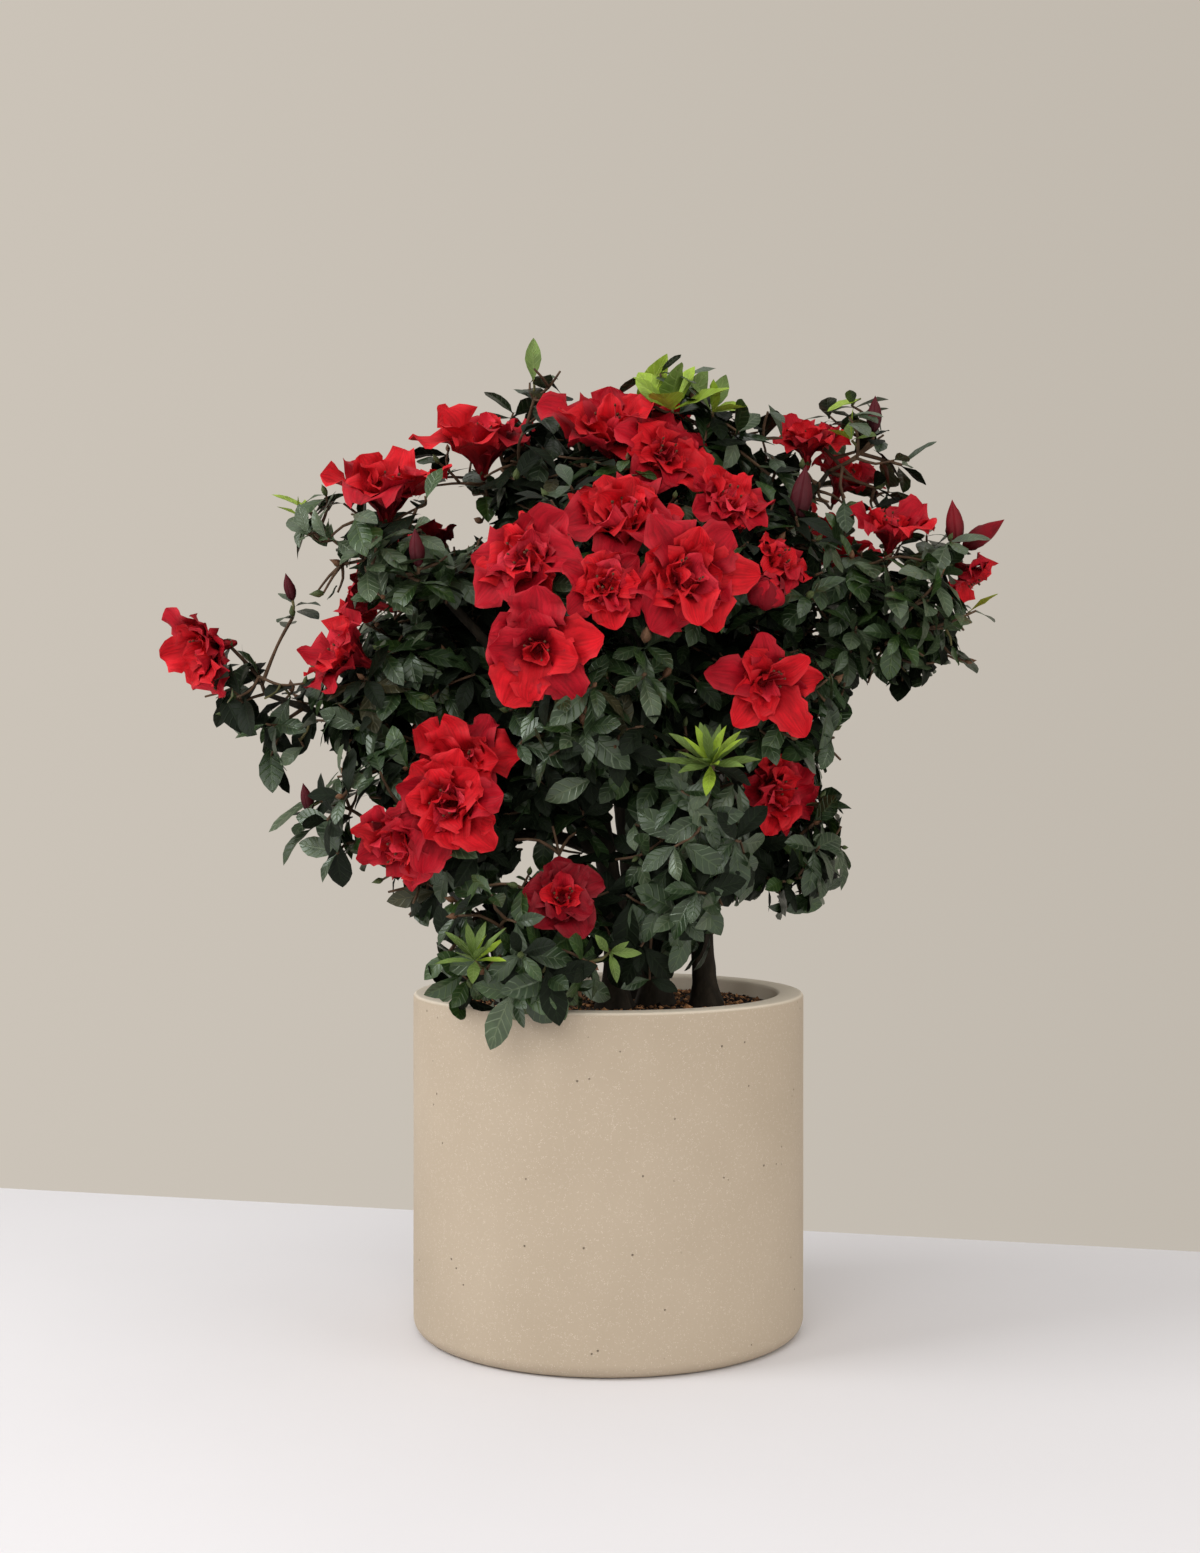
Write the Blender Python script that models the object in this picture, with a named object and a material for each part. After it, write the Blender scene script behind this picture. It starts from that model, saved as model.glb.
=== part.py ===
"""A double red azalea shrub growing in a round stone-coloured planter.

Metres, +Z up. The origin is the centre of the planter's flat underside. The front is -Y.
Four stems rise from the soil, each carries boughs, and each bough ends in one mass of foliage.
A mass is a tree of twigs with whorls of leaves and with blooms, fused into one solid. It keeps to
its own cell of space, so that no two masses meet.
"""

import math
import random
from collections import namedtuple

import bmesh
import bpy
from mathutils import Vector
from mathutils.bvhtree import BVHTree

# ---------------------------------------------------------------- driving sizes
CLEAR = 0.0003                 # gap between pieces that touch
UP = Vector((0, 0, 1))

PLANTER_RADIUS = 0.120
PLANTER_HEIGHT = 0.2063
WALL = 0.016
FLOOR = 0.016
FOOT_ROUND = 0.009             # rounding between the wall and the flat underside
RIM_ROUND = 0.0015
TURNED_SEGMENTS = 36           # the same for planter and soil, so that their facets line up
FOOT_STEPS = 3

SOIL_BELOW_RIM = 0.008
SOIL_TOP = PLANTER_HEIGHT - SOIL_BELOW_RIM
SOIL_RADIUS = PLANTER_RADIUS - WALL - CLEAR

STEM_SIDES = 7
BOUGH_SIDES = 5
TWIG_SIDES = 3
FLARE = 1.55                   # root flare: how much wider a stem is where it meets the soil
BOUGH_BASE = 0.0042            # bough radius where it leaves its stem
BOUGH_TIP = 0.0026
TWIG_BASE = 0.0019
TWIG_TIP = 0.0012

LEAF_LENGTH = 0.045
LEAF_WIDTH = 0.025
LEAF_THICK = 0.0012
LEAF_TRIES = (1.0, 0.95, 0.8)      # sizes at which a leaf is tried until one fits
WHORL_LEAVES = 6
BLOOM_LEAVES = 2
CROWN_CENTRE = Vector((0, 0, 0.36))
LIMB_ROOM = 0.0012             # leaves and twigs stay this far from any limb
CELL_ROOM = 0.0006             # half of the gap between two masses
PETALS = 5
BUD_SIDES = 4
BUD_LENGTH = 0.010
BUD_RADIUS = 0.0034
STRAIGHT_TWIG = 0.036          # a twig shorter than this has no bend
LEAF_SUNK = 0.0055             # this much of a leaf counts as its stalk in the bud

Stem = namedtuple("Stem", "foot tip foot_radius tip_radius bow")
STEMS = {
    "left": Stem((0.004, -0.016), (-0.024, -0.012, 0.420), 0.0080, 0.0044, (0.006, 0.004)),
    "middle": Stem((0.029, 0.003), (0.016, -0.004, 0.455), 0.0088, 0.0046, (-0.004, 0.000)),
    "right": Stem((0.060, -0.004), (0.078, 0.002, 0.440), 0.0072, 0.0044, (-0.009, 0.000)),
    "back": Stem((0.016, 0.040), (0.000, 0.066, 0.420), 0.0078, 0.0044, (0.004, 0.004)),
}

# Each mass: the stem that carries it, the height where its bough leaves, the centre and the reach
# of its space, how many leafy shoots the rule gives it, and the places of shoots that stand out.
Mass = namedtuple("Mass", "stem fork_height centre reach shoots sprigs")
MASSES = {
    "mass_top": Mass("middle", 0.440, (0.024, -0.012, 0.546), (0.066, 0.056, 0.044), 4,
                     [(0.050, -0.010, 0.570), (0.084, -0.008, 0.548), (0.098, -0.022, 0.522)]),
    "mass_top_left": Mass("left", 0.408, (-0.066, 0.004, 0.535), (0.058, 0.054, 0.050), 4,
                          [(-0.046, 0.000, 0.572)]),
    "mass_upper_left": Mass("left", 0.372, (-0.128, -0.036, 0.474), (0.060, 0.058, 0.056), 5,
                            [(-0.182, -0.020, 0.500), (-0.110, -0.080, 0.452)]),
    "mass_left_arm": Mass("left", 0.318, (-0.212, -0.012, 0.390), (0.060, 0.046, 0.052), 3,
                          [(-0.192, -0.020, 0.436), (-0.198, -0.020, 0.372)]),
    "mass_left": Mass("left", 0.344, (-0.134, -0.030, 0.390), (0.056, 0.058, 0.046), 3,
                      [(-0.158, -0.044, 0.368), (-0.126, -0.066, 0.358),
                       (-0.098, -0.052, 0.392)]),
    "mass_lower_left": Mass("left", 0.292, (-0.114, -0.070, 0.314), (0.066, 0.056, 0.048), 3,
                            [(-0.170, -0.060, 0.324), (-0.150, -0.062, 0.300),
                             (-0.104, -0.080, 0.284)]),
    "mass_bottom_left": Mass("left", 0.262, (-0.050, -0.104, 0.244), (0.056, 0.046, 0.046), 4,
                             [(-0.068, -0.132, 0.232), (-0.034, -0.134, 0.226),
                              (-0.088, -0.100, 0.268), (-0.090, -0.112, 0.240)]),
    "mass_centre": Mass("middle", 0.414, (0.008, -0.088, 0.462), (0.080, 0.064, 0.054), 3, []),
    "mass_mid_front": Mass("middle", 0.350, (-0.016, -0.084, 0.376), (0.062, 0.062, 0.046), 4,
                           [(0.020, -0.128, 0.396), (-0.014, -0.128, 0.366)]),
    "mass_right_front": Mass("middle", 0.305, (0.048, -0.084, 0.306), (0.040, 0.050, 0.072), 5,
                             [(0.058, -0.128, 0.346), (0.030, -0.082, 0.262),
                              (0.044, -0.076, 0.368)]),
    "mass_lower_right": Mass("right", 0.300, (0.110, -0.014, 0.296), (0.038, 0.054, 0.040), 4,
                             [(0.124, -0.030, 0.310), (0.094, -0.024, 0.280)]),
    "mass_right": Mass("right", 0.345, (0.110, -0.050, 0.374), (0.042, 0.056, 0.048), 4,
                       [(0.134, -0.040, 0.376), (0.130, -0.046, 0.352)]),
    "mass_mid_right": Mass("right", 0.425, (0.092, -0.052, 0.466), (0.044, 0.056, 0.050), 3,
                           [(0.122, -0.048, 0.488)]),
    "mass_right_arm": Mass("right", 0.385, (0.178, -0.020, 0.440), (0.060, 0.054, 0.056), 4,
                           [(0.206, -0.020, 0.466), (0.172, -0.030, 0.412),
                            (0.198, -0.028, 0.424), (0.146, -0.032, 0.414)]),
    "mass_upper_right": Mass("right", 0.430, (0.138, 0.010, 0.530), (0.056, 0.052, 0.048), 4,
                             [(0.164, 0.000, 0.544), (0.182, 0.004, 0.532)]),
    "mass_back_top": Mass("back", 0.400, (0.014, 0.082, 0.524), (0.078, 0.062, 0.056), 5, []),
    "mass_back_left": Mass("back", 0.345, (-0.104, 0.082, 0.442), (0.078, 0.066, 0.064), 4, []),
    "mass_back_right": Mass("back", 0.375, (0.112, 0.088, 0.450), (0.076, 0.064, 0.062), 5, []),
    "mass_back_low_left": Mass("back", 0.292, (-0.078, 0.092, 0.338), (0.070, 0.060, 0.050), 5, []),
    "mass_back_low_right": Mass("back", 0.318, (0.082, 0.090, 0.342), (0.070, 0.060, 0.050), 5, []),
    "mass_back_middle": Mass("back", 0.385, (0.004, 0.128, 0.424), (0.068, 0.050, 0.060), 4, []),
}

# The number that starts each mass's own run of the growth rule, where it isn't 0.
SEEDS = {}

# Where single leaves that stand out end. Each grows from the shoot nearest to it.
LEAF_TIPS = {
    "mass_top_left": [(-0.047, -0.002, 0.610)],
    "mass_top": [(0.042, -0.020, 0.594), (0.066, -0.014, 0.588)],
    "mass_upper_left": [(-0.204, -0.022, 0.512)],
    "mass_left_arm": [(-0.204, -0.024, 0.330)],
    "mass_lower_left": [(-0.202, -0.062, 0.308), (-0.158, -0.068, 0.272)],
    "mass_bottom_left": [(-0.069, -0.140, 0.190), (-0.028, -0.142, 0.202)],
    "mass_lower_right": [(0.146, -0.034, 0.322)],
    "mass_right_arm": [(0.222, -0.030, 0.404), (0.172, -0.040, 0.386)],
    "mass_upper_right": [(0.202, 0.000, 0.548)],
}

# The blooms that stand out at the front and sides: centre, the way each faces, and its width.
Bloom = namedtuple("Bloom", "centre facing width")
BLOOMS = {
    "mass_left_arm": [Bloom((-0.256, -0.030, 0.416), (-0.80, -0.58, -0.10), 0.060)],
    "mass_left": [Bloom((-0.157, -0.060, 0.414), (-0.75, -0.45, 0.45), 0.062)],
    "mass_upper_left": [Bloom((-0.134, -0.030, 0.518), (0.05, -0.42, 0.90), 0.072)],
    "mass_top_left": [Bloom((-0.079, -0.004, 0.549), (-0.05, -0.45, 0.90), 0.068)],
    "mass_top": [
        Bloom((0.000, -0.030, 0.557), (-0.10, -0.65, 0.75), 0.064),
        Bloom((0.038, -0.058, 0.536), (0.30, -0.85, 0.40), 0.050),
    ],
    "mass_centre": [
        Bloom((-0.051, -0.130, 0.464), (-0.45, -0.85, 0.25), 0.062),
        Bloom((0.009, -0.108, 0.491), (0.00, -0.75, 0.65), 0.072),
        Bloom((-0.002, -0.148, 0.446), (0.05, -0.95, 0.30), 0.048),
        Bloom((0.046, -0.143, 0.453), (0.20, -0.93, 0.25), 0.070),
    ],
    "mass_mid_front": [Bloom((-0.040, -0.150, 0.408), (-0.05, -0.98, -0.10), 0.066)],
    "mass_mid_right": [
        Bloom((0.070, -0.078, 0.500), (0.30, -0.70, 0.60), 0.054),
        Bloom((0.100, -0.082, 0.464), (0.60, -0.60, 0.50), 0.042),
    ],
    "mass_right": [Bloom((0.092, -0.108, 0.392), (0.25, -0.95, -0.05), 0.064)],
    "mass_lower_right": [Bloom((0.103, -0.042, 0.330), (0.65, -0.70, 0.10), 0.058)],
    "mass_lower_left": [
        Bloom((-0.086, -0.098, 0.352), (-0.10, -0.80, 0.55), 0.062),
        Bloom((-0.093, -0.126, 0.324), (-0.20, -0.95, 0.05), 0.066),
        Bloom((-0.124, -0.106, 0.298), (-0.55, -0.65, -0.50), 0.056),
    ],
    "mass_bottom_left": [Bloom((-0.023, -0.122, 0.270), (0.00, -1.00, 0.05), 0.056)],
    "mass_upper_right": [
        Bloom((0.124, 0.008, 0.549), (0.00, -0.40, 0.90), 0.048),
        Bloom((0.150, 0.030, 0.530), (0.30, -0.50, 0.80), 0.050),
    ],
    "mass_right_arm": [
        Bloom((0.173, -0.022, 0.492), (0.10, -0.45, 0.88), 0.056),
        Bloom((0.222, -0.012, 0.460), (0.60, -0.30, -0.70), 0.042),
    ],
}
BACK_BLOOMS = 2                # blooms that the rule gives each mass at the back
BACK_BLOOM_WIDTH = 0.064
BLOOM_DEPTH = 0.42             # share of a bloom's width from its face back to the foot of its tube

# Closed flower buds: foot, the way each points, and its length.
FlowerBud = namedtuple("FlowerBud", "foot pointing length")
FLOWER_BUDS = {
    "mass_right_arm": [
        FlowerBud((0.212, -0.018, 0.480), (-0.10, -0.05, 1.00), 0.032),
        FlowerBud((0.216, -0.022, 0.478), (0.80, -0.10, 0.55), 0.034),
    ],
    "mass_upper_right": [FlowerBud((0.164, 0.000, 0.552), (0.05, 0.00, 1.00), 0.026)],
    "mass_upper_left": [FlowerBud((-0.110, -0.086, 0.460), (-0.05, -0.35, 0.90), 0.026)],
    "mass_mid_right": [FlowerBud((0.092, -0.092, 0.440), (0.10, -0.70, 0.50), 0.026)],
}


# ---------------------------------------------------------------- plain geometry
def bezier(a, b, c, d, share):
    """The point at this share of the cubic through a to d with handles b and c."""
    rest = 1 - share
    return rest ** 3 * a + 3 * rest ** 2 * share * b + 3 * rest * share ** 2 * c + share ** 3 * d


def square_to(axis):
    """Two unit vectors that make a right-handed frame with axis."""
    helper = UP if abs(axis.z) < 0.9 else Vector((1, 0, 0))
    side = helper.cross(axis).normalized()
    return side, axis.cross(side).normalized()


def tube(points, radii, sides, first_axis=None):
    """Vertices and faces of a closed tapering tube through the points, with flat ends."""
    axes = []
    for i, point in enumerate(points):
        before = points[max(i - 1, 0)]
        after = points[min(i + 1, len(points) - 1)]
        axes.append((after - before).normalized())
    if first_axis is not None:
        axes[0] = first_axis.normalized()
    side, _ = square_to(axes[0])
    vertices, faces = [], []
    for point, axis, radius in zip(points, axes, radii):
        side = (side - axis * side.dot(axis)).normalized()
        other = axis.cross(side)
        for k in range(sides):
            turn = 2 * math.pi * k / sides
            vertices.append(point + radius * (math.cos(turn) * side + math.sin(turn) * other))
    for i in range(len(points) - 1):
        for k in range(sides):
            a, b = i * sides + k, i * sides + (k + 1) % sides
            faces.append((a, b, b + sides, a + sides))
    faces.append(tuple(reversed(range(sides))))
    faces.append(tuple(range(len(vertices) - sides, len(vertices))))
    return vertices, faces


def rings_solid(first, rings, last):
    """A closed skin from one pole through rings of equal count to the other pole."""
    count = len(rings[0])
    vertices = [first] + [point for ring in rings for point in ring] + [last]
    faces = [(0, 1 + (k + 1) % count, 1 + k) for k in range(count)]
    for i in range(len(rings) - 1):
        start = 1 + i * count
        for k in range(count):
            a, b = start + k, start + (k + 1) % count
            faces.append((a, b, b + count))
            faces.append((a, b + count, a + count))
    start, pole = 1 + (len(rings) - 1) * count, len(vertices) - 1
    faces += [(start + k, start + (k + 1) % count, pole) for k in range(count)]
    return vertices, faces


def material(name, colour, roughness):
    made = bpy.data.materials.new(name)
    made.use_nodes = True
    shader = made.node_tree.nodes["Principled BSDF"]
    shader.inputs["Base Color"].default_value = (*colour, 1)
    shader.inputs["Roughness"].default_value = roughness
    shader.inputs["Metallic"].default_value = 0
    made.diffuse_color = (*colour, 1)
    return made


def solid(name, vertices, faces, finish, collection=None):
    """One mesh object whose faces point out."""
    mesh = bpy.data.meshes.new(name)
    mesh.from_pydata([tuple(v) for v in vertices], [], faces)
    mesh.materials.append(finish)
    work = bmesh.new()
    work.from_mesh(mesh)
    if work.calc_volume(signed=True) < 0:
        bmesh.ops.reverse_faces(work, faces=work.faces)
    work.to_mesh(mesh)
    work.free()
    made = bpy.data.objects.new(name, mesh)
    (collection or bpy.context.scene.collection).objects.link(made)
    return made


def apply_boolean(target, operation, other, solver="EXACT"):
    """Joins or cuts target with an object or a whole collection, and removes what was used."""
    step = target.modifiers.new("fuse", "BOOLEAN")
    step.operation = operation
    step.solver = solver
    is_collection = isinstance(other, bpy.types.Collection)
    if is_collection:
        step.operand_type = "COLLECTION"
        step.collection = other
    else:
        step.object = other
    bpy.context.view_layer.update()
    evaluated = target.evaluated_get(bpy.context.evaluated_depsgraph_get())
    fused = bpy.data.meshes.new_from_object(evaluated)
    target.modifiers.clear()
    old, target.data = target.data, fused
    bpy.data.meshes.remove(old)
    for used in list(other.objects) if is_collection else [other]:
        bpy.data.objects.remove(used)
    if is_collection:
        bpy.data.collections.remove(other)


def keep_main_body(target):
    """Drops loose scraps and sealed hollows: only the island with the most faces stays."""
    work = bmesh.new()
    work.from_mesh(target.data)
    left, islands = set(work.faces), []
    while left:
        island, edge_of_it = set(), [left.pop()]
        while edge_of_it:
            face = edge_of_it.pop()
            island.add(face)
            for edge in face.edges:
                for near in edge.link_faces:
                    if near in left:
                        left.remove(near)
                        edge_of_it.append(near)
        islands.append(island)
    islands.sort(key=len, reverse=True)
    for scrap in islands[1:]:
        bmesh.ops.delete(work, geom=list(scrap), context="FACES")
    work.to_mesh(target.data)
    work.free()


# ---------------------------------------------------------------- planter and soil
def arc(centre, radius, start, end, steps):
    """Points of an arc in the radius-height plane, angles in degrees."""
    made = []
    for i in range(steps + 1):
        turn = math.radians(start + (end - start) * i / steps)
        made.append((centre[0] + radius * math.cos(turn), centre[1] + radius * math.sin(turn)))
    return made


def turned(name, profile, finish):
    """A solid turned about Z from a profile of (radius, height) that starts and ends on the axis."""
    rings = []
    for radius, height in profile[1:-1]:
        ring = []
        for k in range(TURNED_SEGMENTS):
            turn = 2 * math.pi * k / TURNED_SEGMENTS
            ring.append(Vector((radius * math.cos(turn), radius * math.sin(turn), height)))
        rings.append(ring)
    first = Vector((0, 0, profile[0][1]))
    last = Vector((0, 0, profile[-1][1]))
    made = solid(name, *rings_solid(first, rings, last), finish)
    made.data.shade_smooth()
    made.data.set_sharp_from_angle(angle=math.radians(40))
    return made


def planter(finish):
    inner = PLANTER_RADIUS - WALL
    foot = arc((PLANTER_RADIUS - FOOT_ROUND, FOOT_ROUND), FOOT_ROUND, -90, 0, FOOT_STEPS)
    outer_rim = (PLANTER_RADIUS - RIM_ROUND, PLANTER_HEIGHT - RIM_ROUND)
    inner_rim = (inner + RIM_ROUND, PLANTER_HEIGHT - RIM_ROUND)
    rim = arc(outer_rim, RIM_ROUND, 0, 90, 1) + arc(inner_rim, RIM_ROUND, 90, 180, 1)
    profile = [(0, 0), *foot, *rim, (inner, FLOOR), (0, FLOOR)]
    return turned("planter", profile, finish)


def soil(finish):
    bottom = FLOOR + CLEAR
    profile = [(0, bottom), (SOIL_RADIUS, bottom), (SOIL_RADIUS, SOIL_TOP), (0, SOIL_TOP)]
    return turned("soil", profile, finish)


# ---------------------------------------------------------------- stems and boughs
def stem_points(stem):
    """The stem's centreline: upright at the soil, then bowed towards its tip."""
    foot = Vector((*stem.foot, SOIL_TOP + CLEAR))
    tip = Vector(stem.tip)
    rise = tip.z - foot.z
    bow = Vector((*stem.bow, 0))
    handle_a = foot + UP * rise * 0.35 + bow
    handle_b = tip - UP * rise * 0.3 - (tip - foot) * 0.05 + bow
    steps = 7
    return [bezier(foot, handle_a, handle_b, tip, i / steps) for i in range(steps + 1)]


def stem_radii(stem, count):
    radii = [stem.foot_radius + (stem.tip_radius - stem.foot_radius) * i / (count - 1)
             for i in range(count)]
    radii[0] *= FLARE
    return radii


def with_flare(points, radii):
    """Adds the ring above the root flare, where the stem comes to its true width."""
    above = points[0].lerp(points[1], 0.35)
    return [points[0], above, *points[1:]], [radii[0], radii[1] * 1.12, *radii[1:]]


def at_height(points, radii, height):
    """The point, the direction and the radius where a rising limb passes this height."""
    for i in range(len(points) - 1):
        low, high = points[i], points[i + 1]
        if low.z <= height <= high.z:
            share = (height - low.z) / (high.z - low.z)
            radius = radii[i] + (radii[i + 1] - radii[i]) * share
            return low.lerp(high, share), (high - low).normalized(), radius
    return points[-1], (points[-1] - points[-2]).normalized(), radii[-1]


def reach_towards(mass, direction):
    """How far the mass's space goes from its centre in this direction."""
    return 1 / Vector([direction[i] / mass.reach[i] for i in range(3)]).length


def bough_points(mass, fork, rising):
    """From the fork on the stem's centreline in a curve to where the bough enters its mass."""
    centre = Vector(mass.centre)
    inward = (fork - centre).normalized()
    entry = centre + inward * min(reach_towards(mass, inward) * 0.62, (fork - centre).length * 0.6)
    length = (entry - fork).length
    flat = Vector((entry.x - fork.x, entry.y - fork.y, 0))
    flat = flat.normalized() if flat.length > 1e-4 else Vector()
    leaving = (rising * 0.5 + flat).normalized()
    handle_a = fork + leaving * length * 0.36
    handle_b = entry - (centre - entry).normalized() * length * 0.3
    steps = max(3, min(5, round(length / 0.028)))
    return [bezier(fork, handle_a, handle_b, entry, i / steps) for i in range(steps + 1)]


# ---------------------------------------------------------------- the space of each mass
def width_along(bloom, axis):
    """How far a bloom reaches from its centre along axis."""
    across = math.sqrt(max(0.0, 1 - Vector(bloom.facing).normalized().dot(axis) ** 2))
    return bloom.width * (0.12 + 0.42 * across)


def cell_planes(name, blooms):
    """The flat borders of a mass's space, as (point, normal pointing out), one for each neighbour.
    A border lies where the two reaches meet, and gives way to the blooms on both sides."""
    mass, planes = MASSES[name], []
    for other_name, other in MASSES.items():
        if other_name == name:
            continue
        apart = Vector(other.centre) - Vector(mass.centre)
        axis = apart.normalized()
        own, theirs = reach_towards(mass, axis), reach_towards(other, axis)
        border = apart.length * own / (own + theirs)
        own_blooms = [(Vector(b.centre) - Vector(mass.centre)).dot(axis) + width_along(b, axis)
                      for b in blooms[name]]
        their_blooms = [(Vector(b.centre) - Vector(mass.centre)).dot(axis) - width_along(b, axis)
                        for b in blooms[other_name]]
        low = max(own_blooms, default=-1)
        high = min(their_blooms, default=2)
        if low > high:
            border = (low + high) / 2
        else:
            border = min(max(border, low), high)
        planes.append((Vector(mass.centre) + axis * (border - CELL_ROOM), axis))
    return planes


def share_inside(planes, root, tip):
    """How much of the way from root to tip stays inside every border."""
    share = 1.0
    for point, axis in planes:
        over_root, over_tip = (root - point).dot(axis), (tip - point).dot(axis)
        if over_tip > 0:
            share = min(share, max(0.0, -over_root / (over_tip - over_root)))
    return share


def in_reach(mass, point, stretch):
    offset = point - Vector(mass.centre)
    return Vector([offset[i] / mass.reach[i] for i in range(3)]).length <= stretch


def clear_of_planter(point, room):
    """True where a point is clear of the planter's wall and of the soil."""
    out = math.hypot(point.x, point.y)
    if out < PLANTER_RADIUS - WALL:
        return point.z > SOIL_TOP + room
    return point.z > PLANTER_HEIGHT + room or out > PLANTER_RADIUS + room


def clear_of_limbs(start, end, limbs, room):
    """True where the stretch from start to end keeps clear of every limb."""
    samples = [start.lerp(end, i / 6) for i in range(7)]
    for low, high, radius in limbs:
        along = high - low
        if (low - start).length > along.length + (end - start).length + 0.02:
            continue
        for sample in samples:
            share = max(0.0, min(1.0, (sample - low).dot(along) / along.length_squared))
            if (sample - (low + along * share)).length < radius + room:
                return False
    return True


# ---------------------------------------------------------------- the growth rule
def sphere_directions(count, rng):
    """Directions spread evenly over a sphere, turned by a seeded angle."""
    golden = math.pi * (3 - math.sqrt(5))
    turned_by = rng.uniform(0, 2 * math.pi)
    made = []
    for i in range(count):
        height = 1 - 2 * (i + 0.5) / count
        ring = math.sqrt(1 - height * height)
        angle = golden * i + turned_by
        made.append(Vector((ring * math.cos(angle), ring * math.sin(angle), height)))
    return made


def shoot_places(mass, root, planes, rng):
    """Where the leafy shoots of a mass end: spread over its outer side, away from its root."""
    centre = Vector(mass.centre)
    back = (root - centre).normalized()
    places = [Vector(p) for p in mass.sprigs]
    inward = (CROWN_CENTRE - centre).normalized()
    open_side = [d for d in sphere_directions(mass.shoots * 3, rng)
                 if d.dot(back) < 0.35 and d.dot(inward) < 0.5]
    rng.shuffle(open_side)
    for direction in open_side[:mass.shoots]:
        share = rng.uniform(0.56, 0.74)
        place = centre + direction * reach_towards(mass, direction) * share
        place = root + (place - root) * min(1.0, share_inside(planes, root, place) * 0.86)
        if all((place - other).length > 0.018 for other in places):
            places.append(place)
    return places


def twig_cost(end, knot):
    """How long and how sharply turned a twig to this end would be if it left from this knot."""
    way = end - knot[0]
    if way.length < 0.006:
        return 9.0
    return way.length * (1 + 0.45 * (1 - way.normalized().dot(knot[1])))


def grow_twigs(root, heading, centre, ends, limbs, blockers, rng):
    """The centrelines of a mass's twigs: a leader from root into the mass, then one twig to each
    (place, way it arrives or None) in ends. A twig leaves from the knot that costs least among
    those from where it touches no limb and runs through no bloom."""
    near = root + heading * min(0.009, (centre - root).length * 0.4)
    middle = near.lerp(centre, 0.5)
    knots = [(near, heading), (middle, heading), (centre, (centre - root).normalized())]
    twigs = [[root, near, middle, centre]]
    room = LIMB_ROOM + TWIG_BASE
    for end, axis in sorted(ends, key=lambda e: (e[0] - root).length):
        last = [end] if axis is None else [end - axis * 0.004, end]
        choices = []
        for start, before in sorted(knots, key=lambda k: twig_cost(end, k)):
            way = last[0] - start
            side, other = square_to(way.normalized())
            bend = way.length * 0.10
            knot = start + way * 0.55
            if way.length > STRAIGHT_TWIG:
                knot += side * rng.uniform(-bend, bend) + other * rng.uniform(-bend, bend)
                points = [start, knot, *last]
            else:
                points = [start, *last]
            if all(clear_of_limbs(a, b, limbs, room) for a, b in zip(points, points[1:])):
                thin = tube([start, end - way * 0.1], [TWIG_TIP] * 2, TWIG_SIDES)
                choices.append((crosses(*thin, blockers), len(choices), points, knot))
        if choices:
            _, _, points, knot = min(choices)
            twigs.append(points)
            knots.append((knot, (end - points[0]).normalized()))
    return twigs


def crosses(vertices, faces, blockers):
    """True where this shape cuts through any of the others."""
    shape = BVHTree.FromPolygons(vertices, faces)
    return any(shape.overlap(other) for other in blockers)


def twig_sizes(points):
    """The radius of a side twig at each of its points."""
    return [TWIG_BASE * 0.58] + [TWIG_TIP] * (len(points) - 1)


def shoot_shape(points, axis):
    """A twig that ends in a bud: a swelling and then a point, along axis from the last place. Also
    gives the way from the bud's axis to one of its three edges."""
    end = points[-1]
    line = [*points, end + axis * BUD_LENGTH * 0.35]
    vertices, faces = tube(line, [*twig_sizes(points), BUD_RADIUS], TWIG_SIDES)
    faces.pop()
    last = len(vertices)
    vertices.append(end + axis * BUD_LENGTH)
    for k in range(TWIG_SIDES):
        faces.append((last - TWIG_SIDES + k, last - TWIG_SIDES + (k + 1) % TWIG_SIDES, last))
    return (vertices, faces), (vertices[last - TWIG_SIDES] - line[-1]).normalized()


def stalked_shape(points, axis, rings, pole):
    """A twig whose end widens into rings of more points, about axis, and closes at a pole."""
    middle = points[-1]
    vertices, faces = tube(points, twig_sizes(points), TWIG_SIDES)
    faces.pop()
    side, other = square_to(axis)

    def turns(indices):
        made = []
        for index in indices:
            offset = vertices[index] - middle
            made.append(math.atan2(offset.dot(other), offset.dot(side)) % (2 * math.pi))
        return made

    low = list(range(len(vertices) - TWIG_SIDES, len(vertices)))
    first = len(vertices)
    vertices += [point for ring in rings for point in ring] + [pole]
    count = len(rings[0])
    high = list(range(first, first + count))
    # The three-sided end and the first ring are joined in order of their turn about the axis.
    low_turns, high_turns = turns(low), turns(high)
    low_at, high_at = low_turns.index(min(low_turns)), high_turns.index(min(high_turns))
    low = low[low_at:] + low[:low_at]
    high = high[high_at:] + high[:high_at]
    low_turns, high_turns = sorted(low_turns) + [9.0], sorted(high_turns) + [9.0]
    i = j = 0
    while i < len(low) or j < count:
        here_low, here_high = low[i % len(low)], high[j % count]
        if j == count or (i < len(low) and low_turns[i + 1] < high_turns[j + 1]):
            i += 1
            faces.append((here_low, low[i % len(low)], here_high))
        else:
            j += 1
            faces.append((here_low, high[j % count], here_high))
    for start in range(first, first + count * (len(rings) - 1), count):
        for k in range(count):
            a, b = start + k, start + (k + 1) % count
            faces.append((a, b, b + count))
            faces.append((a, b + count, a + count))
    start, last = len(vertices) - 1 - count, len(vertices) - 1
    faces += [(start + k, start + (k + 1) % count, last) for k in range(count)]
    return vertices, faces


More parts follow.
